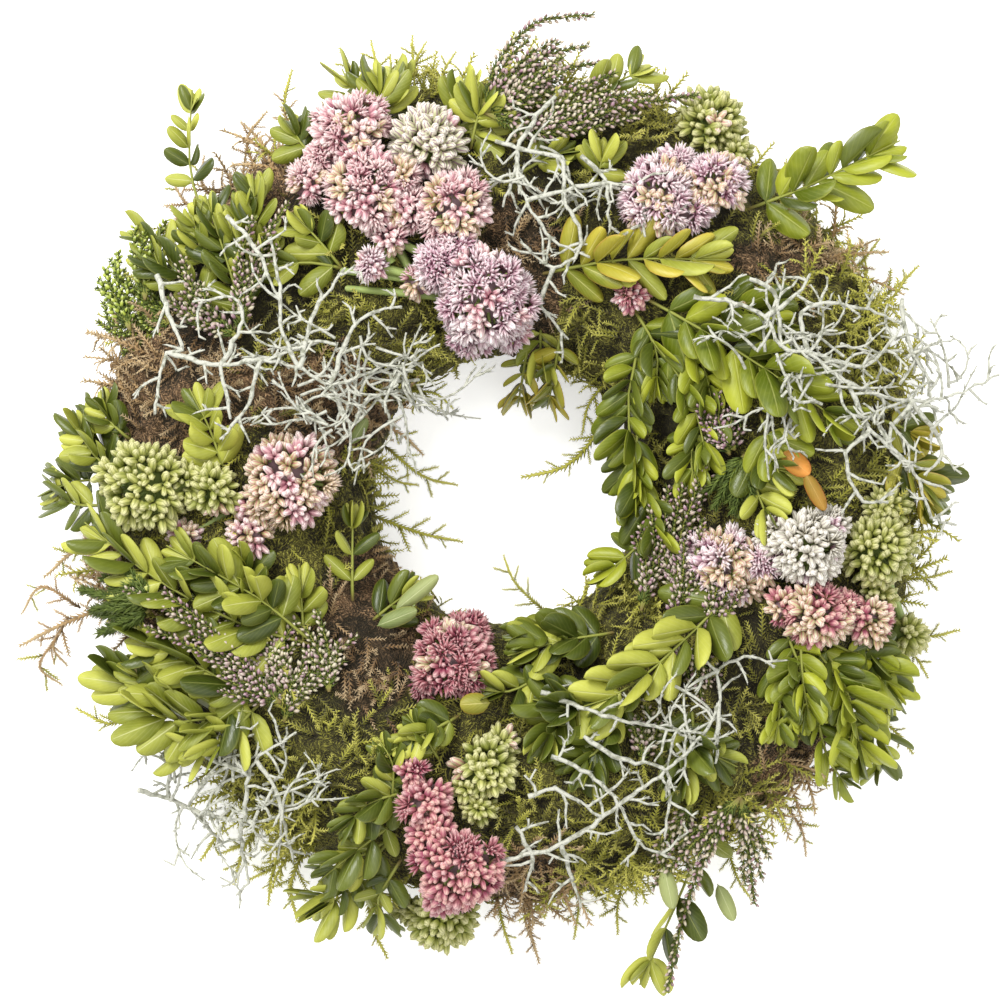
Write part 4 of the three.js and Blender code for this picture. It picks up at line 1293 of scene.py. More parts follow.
@dataclass(frozen=True)
class StrawFinish(Finish):
    """Dry straw, streaked round the ring."""

    dark: int = 0x8A6B38
    pale: int = 0xD8BE83

    def paint(self, graph: Graph) -> None:
        """Lays rings of pale and dark stalks."""
        stalks = graph.add("ShaderNodeTexWave", wave_type="RINGS", rings_direction="Z")
        graph.feed_all(stalks, {"Vector": graph.place(), "Scale": 240.0, "Distortion": 6.0, "Detail": 3.0})
        colour = graph.mix(stalks.outputs["Fac"], linear(self.dark), linear(self.pale))
        normal = graph.bump(stalks.outputs["Fac"], 0.8, 0.001)
        graph.shade({"Base Color": colour, "Normal": normal, "Roughness": 0.75})


@dataclass(frozen=True)
class WireFinish(Finish):
    """Green lacquered binding wire, with a few chips down to the steel."""

    lacquer: int = 0x3F5240
    steel: int = 0x8D8F8C

    def paint(self, graph: Graph) -> None:
        """Lays the lacquer and its chips."""
        chips = graph.ease(graph.grain(700.0, 3.0), 0.64, 0.68)
        colour = graph.mix(chips, linear(self.lacquer), linear(self.steel))
        graph.shade({"Base Color": colour, "Metallic": chips, "Roughness": 0.4})


@dataclass(frozen=True)
class BedFinish(Finish):
    """The moss bed's crumbly skin: painted shade darkens its hollows and shady patches; brown where it is
    dry.
    """

    # The dark tone of the painted shade in the bed's hollows and shady patches
    hollow: int = 0x2A2410
    green: int = 0x646024
    pale_green: int = 0xAAA448
    brown: int = 0x745638
    pale_brown: int = 0xB8946C
    clump_scale: float = 170.0
    barb_scale: float = 330.0
    strand_scale: float = 1900.0
    strand_slimness: float = 0.15

    def strands(self, graph: Graph, clump_scale: float) -> Socket:
        """Gives strokes that lie in another direction on each small clump."""
        place = graph.place()
        clumps = graph.add("ShaderNodeTexVoronoi")
        graph.feed_all(clumps, {"Vector": place, "Scale": clump_scale})
        split = graph.add("ShaderNodeSeparateColor")
        graph.feed(split.inputs[0], clumps.outputs["Color"])
        turn = graph.add("ShaderNodeVectorRotate", rotation_type="Z_AXIS")
        graph.feed_all(turn, {"Vector": place, "Angle": graph.times(split.outputs[0], TURN)})
        squeeze = graph.add("ShaderNodeMapping")
        graph.feed_all(squeeze, {"Vector": turn.outputs[0], "Scale": (1, self.strand_slimness, 1)})
        strokes = graph.add("ShaderNodeTexNoise")
        graph.feed_all(strokes, {"Vector": squeeze.outputs[0], "Scale": self.strand_scale, "Detail": 2.0})
        return graph.ease(strokes.outputs["Fac"], 0.42, 0.66)

    def paint(self, graph: Graph) -> None:
        """Lays the moss: the marks give a point's height and shade for the painted shade, and the tint its
        dryness.
        """
        height, shade = graph.marks()
        strokes = [self.strands(graph, scale) for scale in (self.clump_scale, self.barb_scale)]
        strands = graph.maths("MAXIMUM", *strokes)
        fresh = graph.ease(graph.grain(60.0), 0.35, 0.65)
        pale = graph.times(strands, graph.maths("ADD", 0.45, graph.times(fresh, 0.55)))
        green = graph.mix(pale, linear(self.green), linear(self.pale_green))
        brown = graph.mix(pale, linear(self.brown), linear(self.pale_brown))
        moss = graph.mix(graph.tint(), green, brown)
        # Painted light and shade: lighter on high ground and raised strands, darker in hollows and shady
        # patches
        patches = graph.maths("SUBTRACT", graph.times(graph.grain(120.0, 3.0), 0.6), 0.3)
        rise = graph.maths("ADD", height, graph.times(strands, 0.5))
        lit = graph.ease(graph.maths("ADD", rise, patches), 0.2, 1.05)
        shown = graph.times(lit, graph.maths("SUBTRACT", 1.0, shade))
        colour = graph.mix(shown, linear(self.hollow), moss)
        graph.shade({"Base Color": colour, "Normal": graph.bump(strands, 1.0, 0.0015), "Roughness": 0.95})


def petals(foot: int, deep: int, fresh: int, tip: int, streak: int, streak_share: float) -> GradedFinish:
    """Gives a bud's or a petal's finish: pale at its tip, and streaked lengthwise."""
    return GradedFinish(
        foot, deep, fresh, tip, 0.55, 0.55, 0.7, 0.5, streak=streak, streak_share=streak_share
    )


FINISHES = {
    Tone.MOSS_GREEN: GradedFinish(
        0x4A401C, 0x6A6626, 0xAAA840, 0xD4CE66, 0.3, 0.4, 0.7, 0.85, 0.1, 90.0, 0.8
    ),
    Tone.MOSS_BROWN: GradedFinish(
        0x48361C, 0x7A5E3C, 0xB4966A, 0xDCC69C, 0.35, 0.4, 0.6, 0.85, 0.1, 90.0, 0.8
    ),
    Tone.BOX_BRIGHT: LeafFinish(0x566410, 0xA8AE2E, 0xCCCC7A, 0.3, 0xB0B04C),
    Tone.BOX_LIGHT: LeafFinish(0x747C1E, 0xBCBE4E, 0xDCDC9E, 0.45, 0x8E902E, 0.5),
    Tone.BOX_DARK: LeafFinish(0x384410, 0x667024, 0xA4A858, 0.3, 0x8A8C36, 0.33),
    Tone.BOX_OLIVE: LeafFinish(0x7C8220, 0xBCAE3C, 0xDCD688, 0.45, 0xC08848, 0.42),
    Tone.SCALE_FOLIAGE: GradedFinish(0x56681C, 0x7C8E30, 0xB4C050, 0xE4E6B4, 0.3, 0.5, 0.7, 0.6),
    Tone.HEATHER: GradedFinish(
        0x666832, 0xA67C90, 0xDCD6B2, 0xEEEAD6, 0.5, 0.5, 0.5, 0.6, streak=0x7A5A64, streak_share=0.5
    ),
    Tone.SILVER_BUSH: FeltFinish(),
    "white_buds": petals(0x8E9A48, 0xB8B888, 0xDEDAC2, 0xF2ECE0, 0x86587A, 0.75),
    "silky_buds": petals(0x968E70, 0xBCB8A6, 0xDEDACA, 0xF4F0E6, 0x8E7A80, 0.55),
    "pink_petals": petals(0xA0586A, 0xC48A92, 0xE8D0CA, 0xF4ECE4, 0x98506E, 0.5),
    "lilac_petals": petals(0xA05874, 0xC69CA8, 0xEEE0DC, 0xFAF6F2, 0x88487A, 0.45),
    "cream_buds": petals(0x8A9042, 0xB2A472, 0xD8CCA8, 0xF0E0D2, 0xB0506E, 0.6),
    "rosy_buds": petals(0x868C40, 0xA85E70, 0xCE9290, 0xE8CAB6, 0x9A3A60, 0.5),
    "deep_petals": petals(0x783C40, 0x984A5C, 0xC08082, 0xE6C8C0, 0x782A4C, 0.45),
    "green_buds": petals(0x66702A, 0x8C9240, 0xBABA6C, 0xDED8A8, 0x66702E, 0.5),
    "autumn_leaf": LeafFinish(0x8E7426, 0xD88E3C, 0xDCB468, 0.3, 0xB8562C, 0.6, 0.6),
    "golden_leaf": LeafFinish(0x88862A, 0xC8B040, 0xDCD084, 0.4, 0xA87E30, 0.5, 0.6),
    "sage_leaf": LeafFinish(0x6C7A40, 0x9CA468, 0xC8CC98, 0.5, 0xA8A850, 0.6, 0.6),
    # The core domes fill each head's middle: partly the stalks' colour, partly painted shade between the
    # florets
    "green_core_shade": GradedFinish(0x58682A, 0x58682A, 0x849048, 0x849048, 0.1, 0.8, 0.3, 0.8),
    "pink_core_shade": GradedFinish(0x74585A, 0x74585A, 0xA08088, 0xB89CA0, 0.1, 0.8, 0.3, 0.8),
    "stalks": GradedFinish(0x86984E, 0x7F9450, 0xAAB86E, 0xB4BC7A, 0.1, 0.8, 0.4, 0.5),
    "twigs": GradedFinish(0x7A6A3C, 0x82823A, 0x9CA44A, 0xA4AC52, 0.1, 0.8, 0.4, 0.6),
    "needles": GradedFinish(0x2C3414, 0x40501F, 0x6C7C34, 0x98A45C, 0.2, 0.6, 0.6, 0.6),
    "moss_beds": BedFinish()
}


Materials = dict[str, bpy.types.Material]


def build_materials() -> Materials:
    """Builds every finish's material, under the finish's name."""
    return {name: finish.material(str(name)) for name, finish in FINISHES.items()}


@dataclass(frozen=True)
class Forms:
    """The shapes that repeat, each modelled once."""

    leaves: tuple[Shape, ...]
    bud: Shape
    star: Shape
    half_star: Shape
    fronds: tuple[Shape, ...]
    strands: tuple[Shape, ...]
    long_strand: Shape
    heather_bud: Shape
    needle: Shape
    core: Shape

    @classmethod
    def model(cls) -> "Forms":
        """Models the shapes."""
        return cls(
            leaves=tuple(LeafForm(*habit).model() for habit in ((0.1, 0.3), (0.02, 0.5), (0.22, 0.2))),
            bud=BudForm(0.5, belly=0.02).model(), star=StarForm(0.85).model(),
            half_star=StarForm(0.35).model(),
            fronds=tuple(FrondForm(bend).model() for bend in (0.3, 0.8, 1.3, -0.5)),
            strands=tuple(cls.branched(bend) for bend in (0.5, 1.1, -0.8)),
            long_strand=FrondForm(0, 26, 0.085, 0.05, stem_width=0.034, segments=8).model(),
            heather_bud=BudForm(0.6, sides=4, rings=3, belly=0.1).model(), needle=NeedleForm(0.34).model(),
            core=BudForm(1.0, sides=12, rings=8, belly=0.0).model()
        )

    @staticmethod
    def branched(bend: float) -> Shape:
        """Models a strand of the fringe: a long frond with two side fronds, bowed as one."""
        parts = [FrondForm(0, 12, 0.13, 0.08, stem_width=0.04, segments=4).model()]
        side = FrondForm(0.8, 5, 0.3, 0.2, stem_width=0.08).model()
        for i, place in enumerate((0.34, 0.6)):
            hand = 1 if i % 2 else -1
            lean, back = (hand * 0.75, 0.25 * sway(i), 0.8), (-hand * 0.8, 0.3, 0.75)
            turn = turn_to(lean, back, blend(0.4, 0.3, i))
            parts.append(side.moved(turn, (0, 0, place)).remarked(place, 1.0))
        return Shape.joined(parts).bowed(bend)


Row = tuple[Array, Sequence[float], float]


def spots_from(rows: Sequence[Row]) -> Spots:
    """Gathers turns, places and tints into spots."""
    turns, places, tints = zip(*rows, strict=True) if rows else ((), (), ())
    places = np.array([list(place) for place in places]).reshape(-1, 3)
    return Spots(np.array(turns).reshape(-1, 3, 3), places, np.array(tints))


def turn_to(
    forward: Sequence[float], up: Sequence[float], size: float, width: float | None = None
) -> Array:
    """Turns and scales a shape that stands on Z, so that it looks forward.

    Args:
        forward: Where its Z axis looks.
        up: Where its Y axis leans to.
        size: How long it grows.
        width: How much it grows across, if not as much.

    Returns:
        The turn with its scale.
    """
    turn = facing(np.array([forward]), np.array([up]))[0]
    across = size if width is None else width
    return turn * [across, across, size]


def piece_and_node(name: str, ending: str) -> tuple[str, str]:
    """Gives a plant's piece its name, and the CAD node it stands for, which extra plants don't have."""
    return (name, "") if "extra" in name or "tuft" in name else (f"{name}_{ending}", name)


@dataclass(frozen=True)
class BoxBunch:
    """Box sprigs that grow from one foot: leafy stems with opposite pairs, by turns flat and raised."""

    name: str
    stems: tuple[Stem, ...]
    tone: Tone
    other_tone: Tone
    other_share: float
    shade: float
    stem_radius: float = 0.6
    tip_reach: float = 0.7
    flat_lift: float = 6.0
    middle_lift: float = 34.0
    high_lift: float = 62.0

    def leaf_turn(self, walk: Walk, stem: Stem, at: float, share: float, mark: float) -> Array:
        """Turns and scales one leaf.

        Args:
            walk: Its stem's curve.
            stem: Its stem.
            at: Where on the curve it grows.
            share: How far it is from the first pair to the last.
            mark: Its own number; whole ones have the CAD's leaves, by turns left and right.

        Returns:
            The turn with its scale.
        """
        hand = 1 if int(mark) % 2 else -1
        pair = int(mark) % 100 // 2
        along = walk.along(at)
        place = walk.at(at)
        side = along.cross(ridge_up(place.x, place.y)).normalized()
        over = side.cross(along)
        is_extra = mark % 1 > 0
        base = self.middle_lift if is_extra else (self.high_lift if pair % 2 else self.flat_lift)
        lift = math.radians(base + 16 * share + 12 * sway(mark + 0.6))
        spread = math.radians(blend(54, 38, share) + 15 * sway(mark + 0.1))
        outward = side * hand * math.cos(lift) + over * math.sin(lift)
        ahead = along * math.cos(spread) + outward * math.sin(spread)
        normal = outward.cross(along) * hand
        front = normal.cross(ahead)
        roll = math.radians(24 * sway(mark + 0.7))
        front, normal = (
            front * math.cos(roll) + normal * math.sin(roll),
            normal * math.cos(roll) - front * math.sin(roll)
        )
        length = stem.leaf * (1 - 0.25 * abs(share - 0.45)) * (1 + 0.2 * sway(mark + 0.3))
        length *= 0.86 if is_extra else 1
        width = length * blend(stem.slim, min(stem.slim, 0.44), share) * (1 + 0.1 * sway(mark + 0.4))
        return np.array([ahead * length, front * width, normal * length]).T

    def leaves(self, stem: Stem, walk: Walk) -> list[Row]:
        """Gives the turn, place and tint of every leaf of a stem."""
        last = 1 - self.tip_reach * stem.leaf / walk.length
        first = min(stem.bare, last - 0.1)
        count = 2 * stem.pairs
        rows = []
        for i in range(count):
            share = min(i / max(1, 2 * stem.pairs - 2), 1.0)
            at = blend(first, last, share) if i < count - 1 else blend(first, last, share) + 0.02
            for hand in (0, 1):
                mark = stem.seed * 100 + (i // 2) * 2 + hand + (0.5 if i % 2 else 0)
                turn = self.leaf_turn(walk, stem, at, share, mark)
                tint = self.shade + 0.5 * sway(mark + 0.2) + 0.3 * (share - 0.5)
                rows.append((turn, walk.at(at), clamped(tint)))
        for hand in (-1, 1):
            place = walk.at(last)
            along = walk.along(1.0)
            side = along.cross(ridge_up(place.x, place.y)).normalized()
            ahead = (along + side * hand * 0.22).normalized()
            normal = ahead.cross(side).normalized() * -1
            length = stem.leaf * 0.78
            columns = [ahead * length, normal.cross(ahead) * length * 0.36, normal * length]
            rows.append((np.array(columns).T, place, min(1.0, self.shade + 0.25)))
        return rows

    def build(self, forms: Forms, materials: Materials) -> None:
        """Builds the bunch, and has it stand for its CAD node."""
        bunch = Gathering()
        for stem in self.stems:
            walk = ridge_walk(stem.path)
            rod = walk.rod(8, self.stem_radius, 1.2, 0.55)
            rod.points[0] = rod.points[0] - UP * 5
            bunch.add(bent_rods([rod], 4), 0.5, 1)
            groups = {}
            for i, row in enumerate(self.leaves(stem, walk)):
                mark = stem.seed * 37 + i
                finish = 2 if chance(mark + 0.3) < self.other_share else 0
                groups.setdefault((int(chance(mark) * len(forms.leaves)), finish), []).append(row)
            for (form, finish), rows in groups.items():
                bunch.scatter(forms.leaves[form], spots_from(rows), finish)
        name, node = piece_and_node(self.name, "leaves")
        finishes = [materials[tone] for tone in (self.tone, "twigs", self.other_tone)]
        bunch.piece(name, self.tone, finishes, node)


def box_bunches() -> list[BoxBunch]:
    """Reads the box bunches from their plan."""
    bunches = []
    for (name, tone, other, *numbers), rows in read_plan(BOX_PLAN):
        other_share, shade, first_seed = map(float, numbers)
        stems = tuple(
            Stem(by(3, path), int(pairs), leaf, slim, bare, int(first_seed) + k)
            for k, (pairs, leaf, slim, bare, *path) in enumerate(rows)
        )
        bunches.append(BoxBunch(name, stems, Tone("box_" + tone), Tone("box_" + other), other_share, shade))
    return bunches


@dataclass(frozen=True)
class Bloom:
    """How a colour of stonecrop grows: its finishes, and how its florets are open and set."""

    tone: Tone
    main: str
    other: str
    other_share: float
    open_share: float
    bud_length: float = 6.6
    star_length: float = 5.4
    group_pitch: float = 8.3
    around: int = 6


@dataclass(frozen=True)
class Stonecrop:
    """Stonecrop heads of one colour: small bunches of buds and stars on forked stalks."""

    node: str
    heads: tuple[Head, ...]
    bloom: Bloom
    number: int
    flatness: float = 0.72
    lowest: float = 0.0
    core_share: float = 0.66
    fan: float = 0.8
    growth: float = 1.24
    lobe_size: float = 2.7
    lobe_rise: float = 0.22
    lobe_fan: float = 0.7
    inside: float = 0.72

    def group_axes(self, head: Head, number: int) -> list[tuple[Vector, Vector, float, float]]:
        """Gives each small bunch's direction from the head's middle, where it looks, its reach and mark."""
        count = max(5, round(TURN * head.radius**2 / self.bloom.group_pitch**2))
        lobes = max(3, round(head.radius / self.lobe_size))
        crowns = [on_ball(k, lobes, 0.3, number * 1.7) for k in range(lobes)]
        rows = []
        for i in range(count):
            mark = number * 1000 + i * 10
            axis = on_ball(i, count, self.lowest, number + 0.1 * sway(mark))
            crown = max(crowns, key=axis.dot)
            closeness = max(0.0, axis.dot(crown)) ** 8
            reach = head.radius * (self.growth - self.lobe_rise * (1 - closeness) + 0.07 * sway(mark + 1))
            look = axis + (axis - crown) * self.lobe_fan + Vector((0, 0, 0.25))
            rows.append((axis, look.normalized(), reach, mark))
        return rows

    def florets(self, head: Head, number: int) -> tuple[dict[tuple[str, int], list[Row]], list[Rod]]:
        """Lays a head's florets, by their form and finish, and the stalks under them.

        Args:
            head: The head.
            number: Its own number.

        Returns:
            Each floret's turn, place and tint under its form and finish, and the stalks.
        """
        middle = on_ridge(head.at)
        up = ridge_up(head.at[0], head.at[1])
        lean = UP.rotation_difference(up)
        root = middle - up * head.radius * 0.5
        scale = min(1.0, 0.5 + head.radius / 26)
        rows, rods = {}, []
        others = [(on_ridge(h.at), h.radius * self.inside) for h in self.heads if h is not head]
        for axis, look, reach, mark in self.group_axes(head, number):
            length = self.bloom.bud_length * scale
            shaped = Vector((axis.x, axis.y, axis.z * self.flatness)) * (reach - length - 1.6)
            fork = middle + lean @ shaped
            if any((fork - place).length < reach for place, reach in others):
                continue
            rods.append(Rod([root, fork], [0.9, 0.6]))
            forward = lean @ look
            side = forward.orthogonal().normalized()
            over = forward.cross(side)
            is_other = chance(mark + 5) < self.bloom.other_share
            is_open = not is_other and chance(mark + 2) < self.bloom.open_share
            group_tint = 0.5 + 0.42 * sway(mark + 3)
            for k in range(self.bloom.around + 1):
                own = mark + 0.11 * k
                angle = TURN * k / self.bloom.around + 0.5 * sway(own)
                splay = (self.fan + 0.25 * sway(own + 4)) if k else 0.1
                ahead = forward + (side * math.cos(angle) + over * math.sin(angle)) * splay
                foot = fork + ahead.normalized() * 1.2
                kind = "bud"
                size = length * (1 + 0.16 * sway(own + 5))
                if is_open and chance(own + 6) < 0.85:
                    kind = "star" if chance(own + 7) < 0.55 else "half_star"
                    size = self.bloom.star_length * scale * (1 + 0.12 * sway(own + 5))
                    foot += ahead.normalized() * (length - size + 0.8)
                tint = clamped(group_tint + 0.3 * sway(own + 8))
                width = size * (1.0 if kind != "bud" else blend(0.8, 1.05, chance(own + 9)))
                spot = (turn_to(ahead, up, size, width), foot, tint)
                rows.setdefault((kind, 3 if is_other else 0), []).append(spot)
        return rows, rods

    def build(self, forms: Forms, materials: Materials) -> None:
        """Builds the heads and has them stand for their CAD node."""
        cluster = Gathering()
        rods = []
        first = on_ridge(self.heads[0].at) - UP * self.heads[0].radius * 0.2
        for i, head in enumerate(self.heads):
            rows, stalks = self.florets(head, self.number * 10 + i)
            rods += stalks
            for (kind, finish), chosen in rows.items():
                cluster.scatter(getattr(forms, kind), spots_from(chosen), finish)
            up = ridge_up(*head.at[:2])
            core = head.radius * self.core_share
            turn = turn_to(up, Vector((0, 1, 0.01)), core * self.flatness * 1.2, core * 2)
            foot = on_ridge(head.at) - up * core * 0.7
            cluster.scatter(forms.core, spots_from([(turn, foot, chance(self.number + i))]), 2)
            here = on_ridge(head.at) - UP * head.radius * 0.2
            if i:
                rods.append(Rod([here, here.lerp(first, 0.5) - UP, first], [1.9, 2, 2]))
        cluster.add(bent_rods(rods, 4), 0.5, 1)
        tone = self.bloom.tone
        # The core's finish is darker than the stalks: painted shade between the florets
        core = "pink_core_shade" if tone in (Tone.FLORETS_PINK, Tone.FLORETS_MAGENTA) else "green_core_shade"
        finishes = [materials[name] for name in (self.bloom.main, "stalks", core, self.bloom.other)]
        cluster.piece(self.node + "_florets", tone, finishes, self.node)


@dataclass(frozen=True)
class HeatherSpray:
    """Heather spikes from one foot: bead-like buds all round, over short needles."""

    name: str
    paths: list[tuple[Point, ...]]
    shade: float
    number: int
    tone: Tone = Tone.HEATHER
    bud_pitch: float = 0.9
    bud_length: float = 3.1
    needle_pitch: float = 0.4
    needle_length: float = 3.3
    radius: float = 2.0
    highest_bushy: float = 17.0
    bare: float = 0.1
    companions: int = 3
    companion_gap: float = 4.5

    def around(
        self, walk: Walk, pitch: float, size: float, offset: float, steep: float, start: float, mark: float
    ) -> list[Row]:
        """Sets copies in a spiral round a curve.

        Args:
            walk: The curve.
            pitch: How far each copy is from the last, along it.
            size: How long a copy is.
            offset: How far from the curve it stands.
            steep: How much it looks ahead rather than out.
            start: Where on the curve they start.
            mark: A number that sets their chance.

        Returns:
            Each copy's turn, place and tint.
        """
        rows = []
        count = max(2, round(walk.length * (1 - start) / pitch))
        for i in range(count):
            at = blend(start, 1, i / (count - 1))
            along = walk.along(at)
            side = along.cross(UP).normalized()
            over = side.cross(along)
            angle = i * GOLDEN_ANGLE + 0.5 * sway(mark + i)
            outward = side * math.cos(angle) + over * math.sin(angle)
            slim = blend(1, 0.45, max(0, at - 0.2) / 0.8)
            length = size * blend(1, 0.7, at) * (1 + 0.2 * sway(mark + i + 0.3))
            place = walk.at(at) + outward * offset * slim * (1 + 0.3 * sway(mark + i + 0.6))
            tint = clamped(self.shade + 0.45 * sway(mark + i + 0.8))
            rows.append((turn_to(outward + along * steep, along, length), place, tint))
        return rows

    def walks(self) -> list[Walk]:
        """Lays the spikes: each listed one, and shorter ones that grow beside it."""
        walks = []
        for i, path in enumerate(self.paths):
            main = ridge_walk(path)
            walks.append(main)
            is_arching = max(z for _, _, z in path) > self.highest_bushy
            for k in range(0 if is_arching else self.companions):
                mark = self.number * 70 + i * 9 + k
                hand = 1 if k % 2 else -1
                reach = blend(0.5, 0.85, chance(mark))
                places = []
                for step in range(4):
                    share = reach * step / 3
                    side = main.along(share).cross(UP).normalized() * hand
                    gap = self.companion_gap * (1 + k // 2 + 0.4 * sway(mark + 0.5)) * step / 3
                    places.append(main.at(share) + side * gap - UP * 1.2 * k * step / 3)
                walks.append(Walk(places))
        return walks

    def build(self, forms: Forms, materials: Materials) -> None:
        """Builds the spray and has it stand for its CAD node."""
        spray = Gathering()
        for i, walk in enumerate(self.walks()):
            mark = self.number * 500 + i * 90
            spray.add(bent_rods([walk.rod(12, 1, 0.7, 0.35)], 4), 0.2, 1)
            if self.bud_pitch:
                offset = self.radius * 0.6
                buds = self.around(
                    walk, self.bud_pitch, self.bud_length, offset, 0.9, self.bare + 0.12, mark
                )
                spray.scatter(forms.heather_bud, spots_from(buds))
            needles = self.around(
                walk, self.needle_pitch, self.needle_length, 0.3, 1.1, self.bare, mark + 40
            )
            spray.scatter(forms.needle, spots_from(needles), 2)
        name, node = piece_and_node(self.name, "spikes")
        spray.piece(name, self.tone, [materials[key] for key in (self.tone, "twigs", "needles")], node)


# How each kind of spray grows, where it isn't as heather does
SPRAY_KINDS = {
    "heather": {}, "green": {"tone": Tone.SCALE_FOLIAGE},
    "scale": {"tone": Tone.SCALE_FOLIAGE, "bud_length": 2.1, "companions": 4},
    "needle": {
        "tone": Tone.SCALE_FOLIAGE, "bud_pitch": 0, "needle_pitch": 0.16, "needle_length": 5.0,
        "companion_gap": 4.0
    }
}


def sprays() -> list[HeatherSpray]:
    """Reads the heather, scale foliage and needle sprays from their plan."""
    return [
        HeatherSpray(name, [by(3, row) for row in rows], float(shade), int(number), **SPRAY_KINDS[kind])
        for (name, kind, shade, number), rows in read_plan(SPRAY_PLAN)
    ]


@dataclass(frozen=True)
class Tangle:
    """A place where thin silver twigs lie in a tangle: its middle, its half widths and their count."""

    node: str
    at: Point
    wide: float
    high: float
    count: int


TANGLES = (
    Tangle("silver_upper_left", (-62, 42, 9), 27, 20, 36), Tangle("silver_right", (116, 46, 9), 24, 15, 26),
    Tangle("silver_right", (160, 40, 8), 20, 26, 14),
    Tangle("silver_lower_left", (-112, -124, 8), 26, 14, 20),
    Tangle("silver_bottom", (74, -92, 9), 16, 18, 6), Tangle("silver_top_centre", (22, 122, 10), 24, 16, 6)
)


@dataclass(frozen=True)
class SilverBush:
    """Silver bush twigs: crooked felted rods with forked side twigs and stubs along them."""

    node: str
    twigs: list[tuple[Point, ...]]
    number: int
    radius: float = 0.85
    step: float = 3.2
    crook: float = 0.6
    fork_pitch: float = 10.0
    fork_length: float = 14.0
    fork_rise: float = 0.3
    scale_pitch: float = 2.6
    scale_length: float = 2.2

    def rod(self, walk: Walk, mark: float) -> Rod:
        """Lays one twig, a little crooked and knobbly."""
        count = max(4, round(walk.length / self.step))
        points = []
        radii = []
        for i, point in enumerate(walk.places(count)):
            shift = Vector((sway(mark + i), sway(mark + i + 0.3), sway(mark + i + 0.6) * 0.5))
            points.append(point + shift * (self.crook if 0 < i < count - 1 else 0))
            radii.append(self.radius * blend(1.15, 0.6, i / (count - 1)) * (1 + 0.2 * sway(mark + i + 0.8)))
        return Rod(points, radii)

    def side_twig(
        self, foot: Vector, ahead: Vector, across: Vector, length: float, mark: float
    ) -> list[Rod]:
        """Lays one side twig that bends as it goes, with stubs at its knees.

        Args:
            foot: Where it starts.
            ahead: Where it starts off to.
            across: The direction that it bends along.
            length: How long it is.
            mark: A number that sets its chance.

        Returns:
            The twig and its stubs.
        """
        points = [foot]
        rods = []
        heading = ahead
        knees = 3 if length > 8 else 2
        for k in range(knees):
            bend = across * 0.55 * sway(mark + k) + UP * 0.25 * sway(mark + k + 0.4)
            heading = (heading + bend).normalized()
            points.append(points[-1] + heading * length / knees)
            if chance(mark + k + 0.2) < 0.35:
                hand = 1 if chance(mark + k + 0.7) < 0.5 else -1
                stub = (heading * 0.7 + across * hand + UP * 0.3 * sway(mark + k + 0.9)).normalized()
                reach = blend(2.4, 5.5, chance(mark + k + 0.6))
                tip = points[-1] + stub * reach
                rods.append(Rod([points[-1], tip], [self.radius * 0.6, self.radius * 0.36]))
        radii = [self.radius * blend(0.74, 0.36, (k / knees) ** 1.5) for k in range(knees + 1)]
        return [Rod(points, radii), *rods]

    def forks(self, walk: Walk, mark: float) -> list[Rod]:
        """Gives the side twigs along a twig, by turns left and right."""
        rods = []
        count = round(walk.length / self.fork_pitch)
        for i in range(count):
            at = (i + 0.5 + 0.3 * sway(mark + i)) / count
            along = walk.along(at)
            side = along.cross(UP).normalized() * (1 if i % 2 else -1)
            rise = UP * self.fork_rise * sway(mark + i + 0.2)
            ahead = (along * blend(0.2, 1.0, chance(mark + i + 0.1)) + side + rise).normalized()
            length = self.fork_length * blend(0.35, 1.1, chance(mark + i + 0.4))
            rods += self.side_twig(walk.at(at), ahead, along, length, mark + i * 3)
        return rods

    def tangle(self, place: Tangle, mark: float) -> list[Rod]:
        """Lays thin twigs that curl about each other over a place."""
        rods = []
        for i in range(place.count):
            own = mark + i * 7
            angle = TURN * chance(own)
            reach = math.sqrt(chance(own + 1))
            x = place.at[0] + place.wide * reach * math.cos(angle)
            y = place.at[1] + place.high * reach * math.sin(angle)
            heading = TURN * chance(own + 2)
            turning = 0.7 * sway(own + 3)
            corners = []
            for k in range(5):
                lift = place.at[2] + 3.5 * sway(own + 4 + k * 0.3)
                corners.append(on_ridge((x, y, lift)))
                heading += turning + 0.35 * sway(own + k * 0.7)
                step = blend(5, 9, chance(own + 5))
                x += step * math.cos(heading)
                y += step * math.sin(heading)
            walk = Walk(corners)
            rods.append(walk.rod(9, self.radius, 0.76, 0.4))
            for k in range(2):
                at = blend(0.3, 0.9, chance(own + 6 + k * 0.4))
                along = walk.along(at)
                side = along.cross(UP).normalized() * (1 if k else -1)
                rods += self.side_twig(walk.at(at), (along + side * 0.9).normalized(), along, 6, own + k)
        return rods

    def scales(self, rods: Sequence[Rod]) -> list[Row]:
        """Sets the small scale leaves that lie along the rods."""
        rows = []
        for i, rod in enumerate(rods):
            walk = Walk(list(rod.points))
            count = round(walk.length / self.scale_pitch)
            for k in range(count):
                at = (k + chance(i + k * 0.3)) / count
                along = walk.along(at)
                side = along.cross(UP).normalized()
                angle = GOLDEN_ANGLE * (k + i)
                outward = side * math.cos(angle) + side.cross(along) * math.sin(angle)
                size = self.scale_length * blend(0.7, 1.2, chance(i * 0.7 + k))
                place = walk.at(at) + outward * rod.radii[0] * 0.4
                rows.append((turn_to(along + outward * 0.5, outward, size), place, chance(k)))
        return rows

    def build(self, forms: Forms, materials: Materials) -> None:
        """Builds the twigs and has them stand for their CAD node."""
        rods = []
        for i, place in enumerate(TANGLES):
            if place.node == self.node:
                rods += self.tangle(place, 900 + i * 83)
        for i, twig in enumerate(self.twigs):
            walk = ridge_walk(twig)
            mark = self.number * 300 + i * 31
            rods.append(self.rod(walk, mark))
            rods += self.forks(walk, mark + 7)
        branch = Gathering()
        branch.add(bent_rods(rods))
        branch.scatter(forms.needle, spots_from(self.scales(rods)))
        tone = Tone.SILVER_BUSH
        branch.piece(self.node + "_felted", tone, [materials[tone]], self.node)


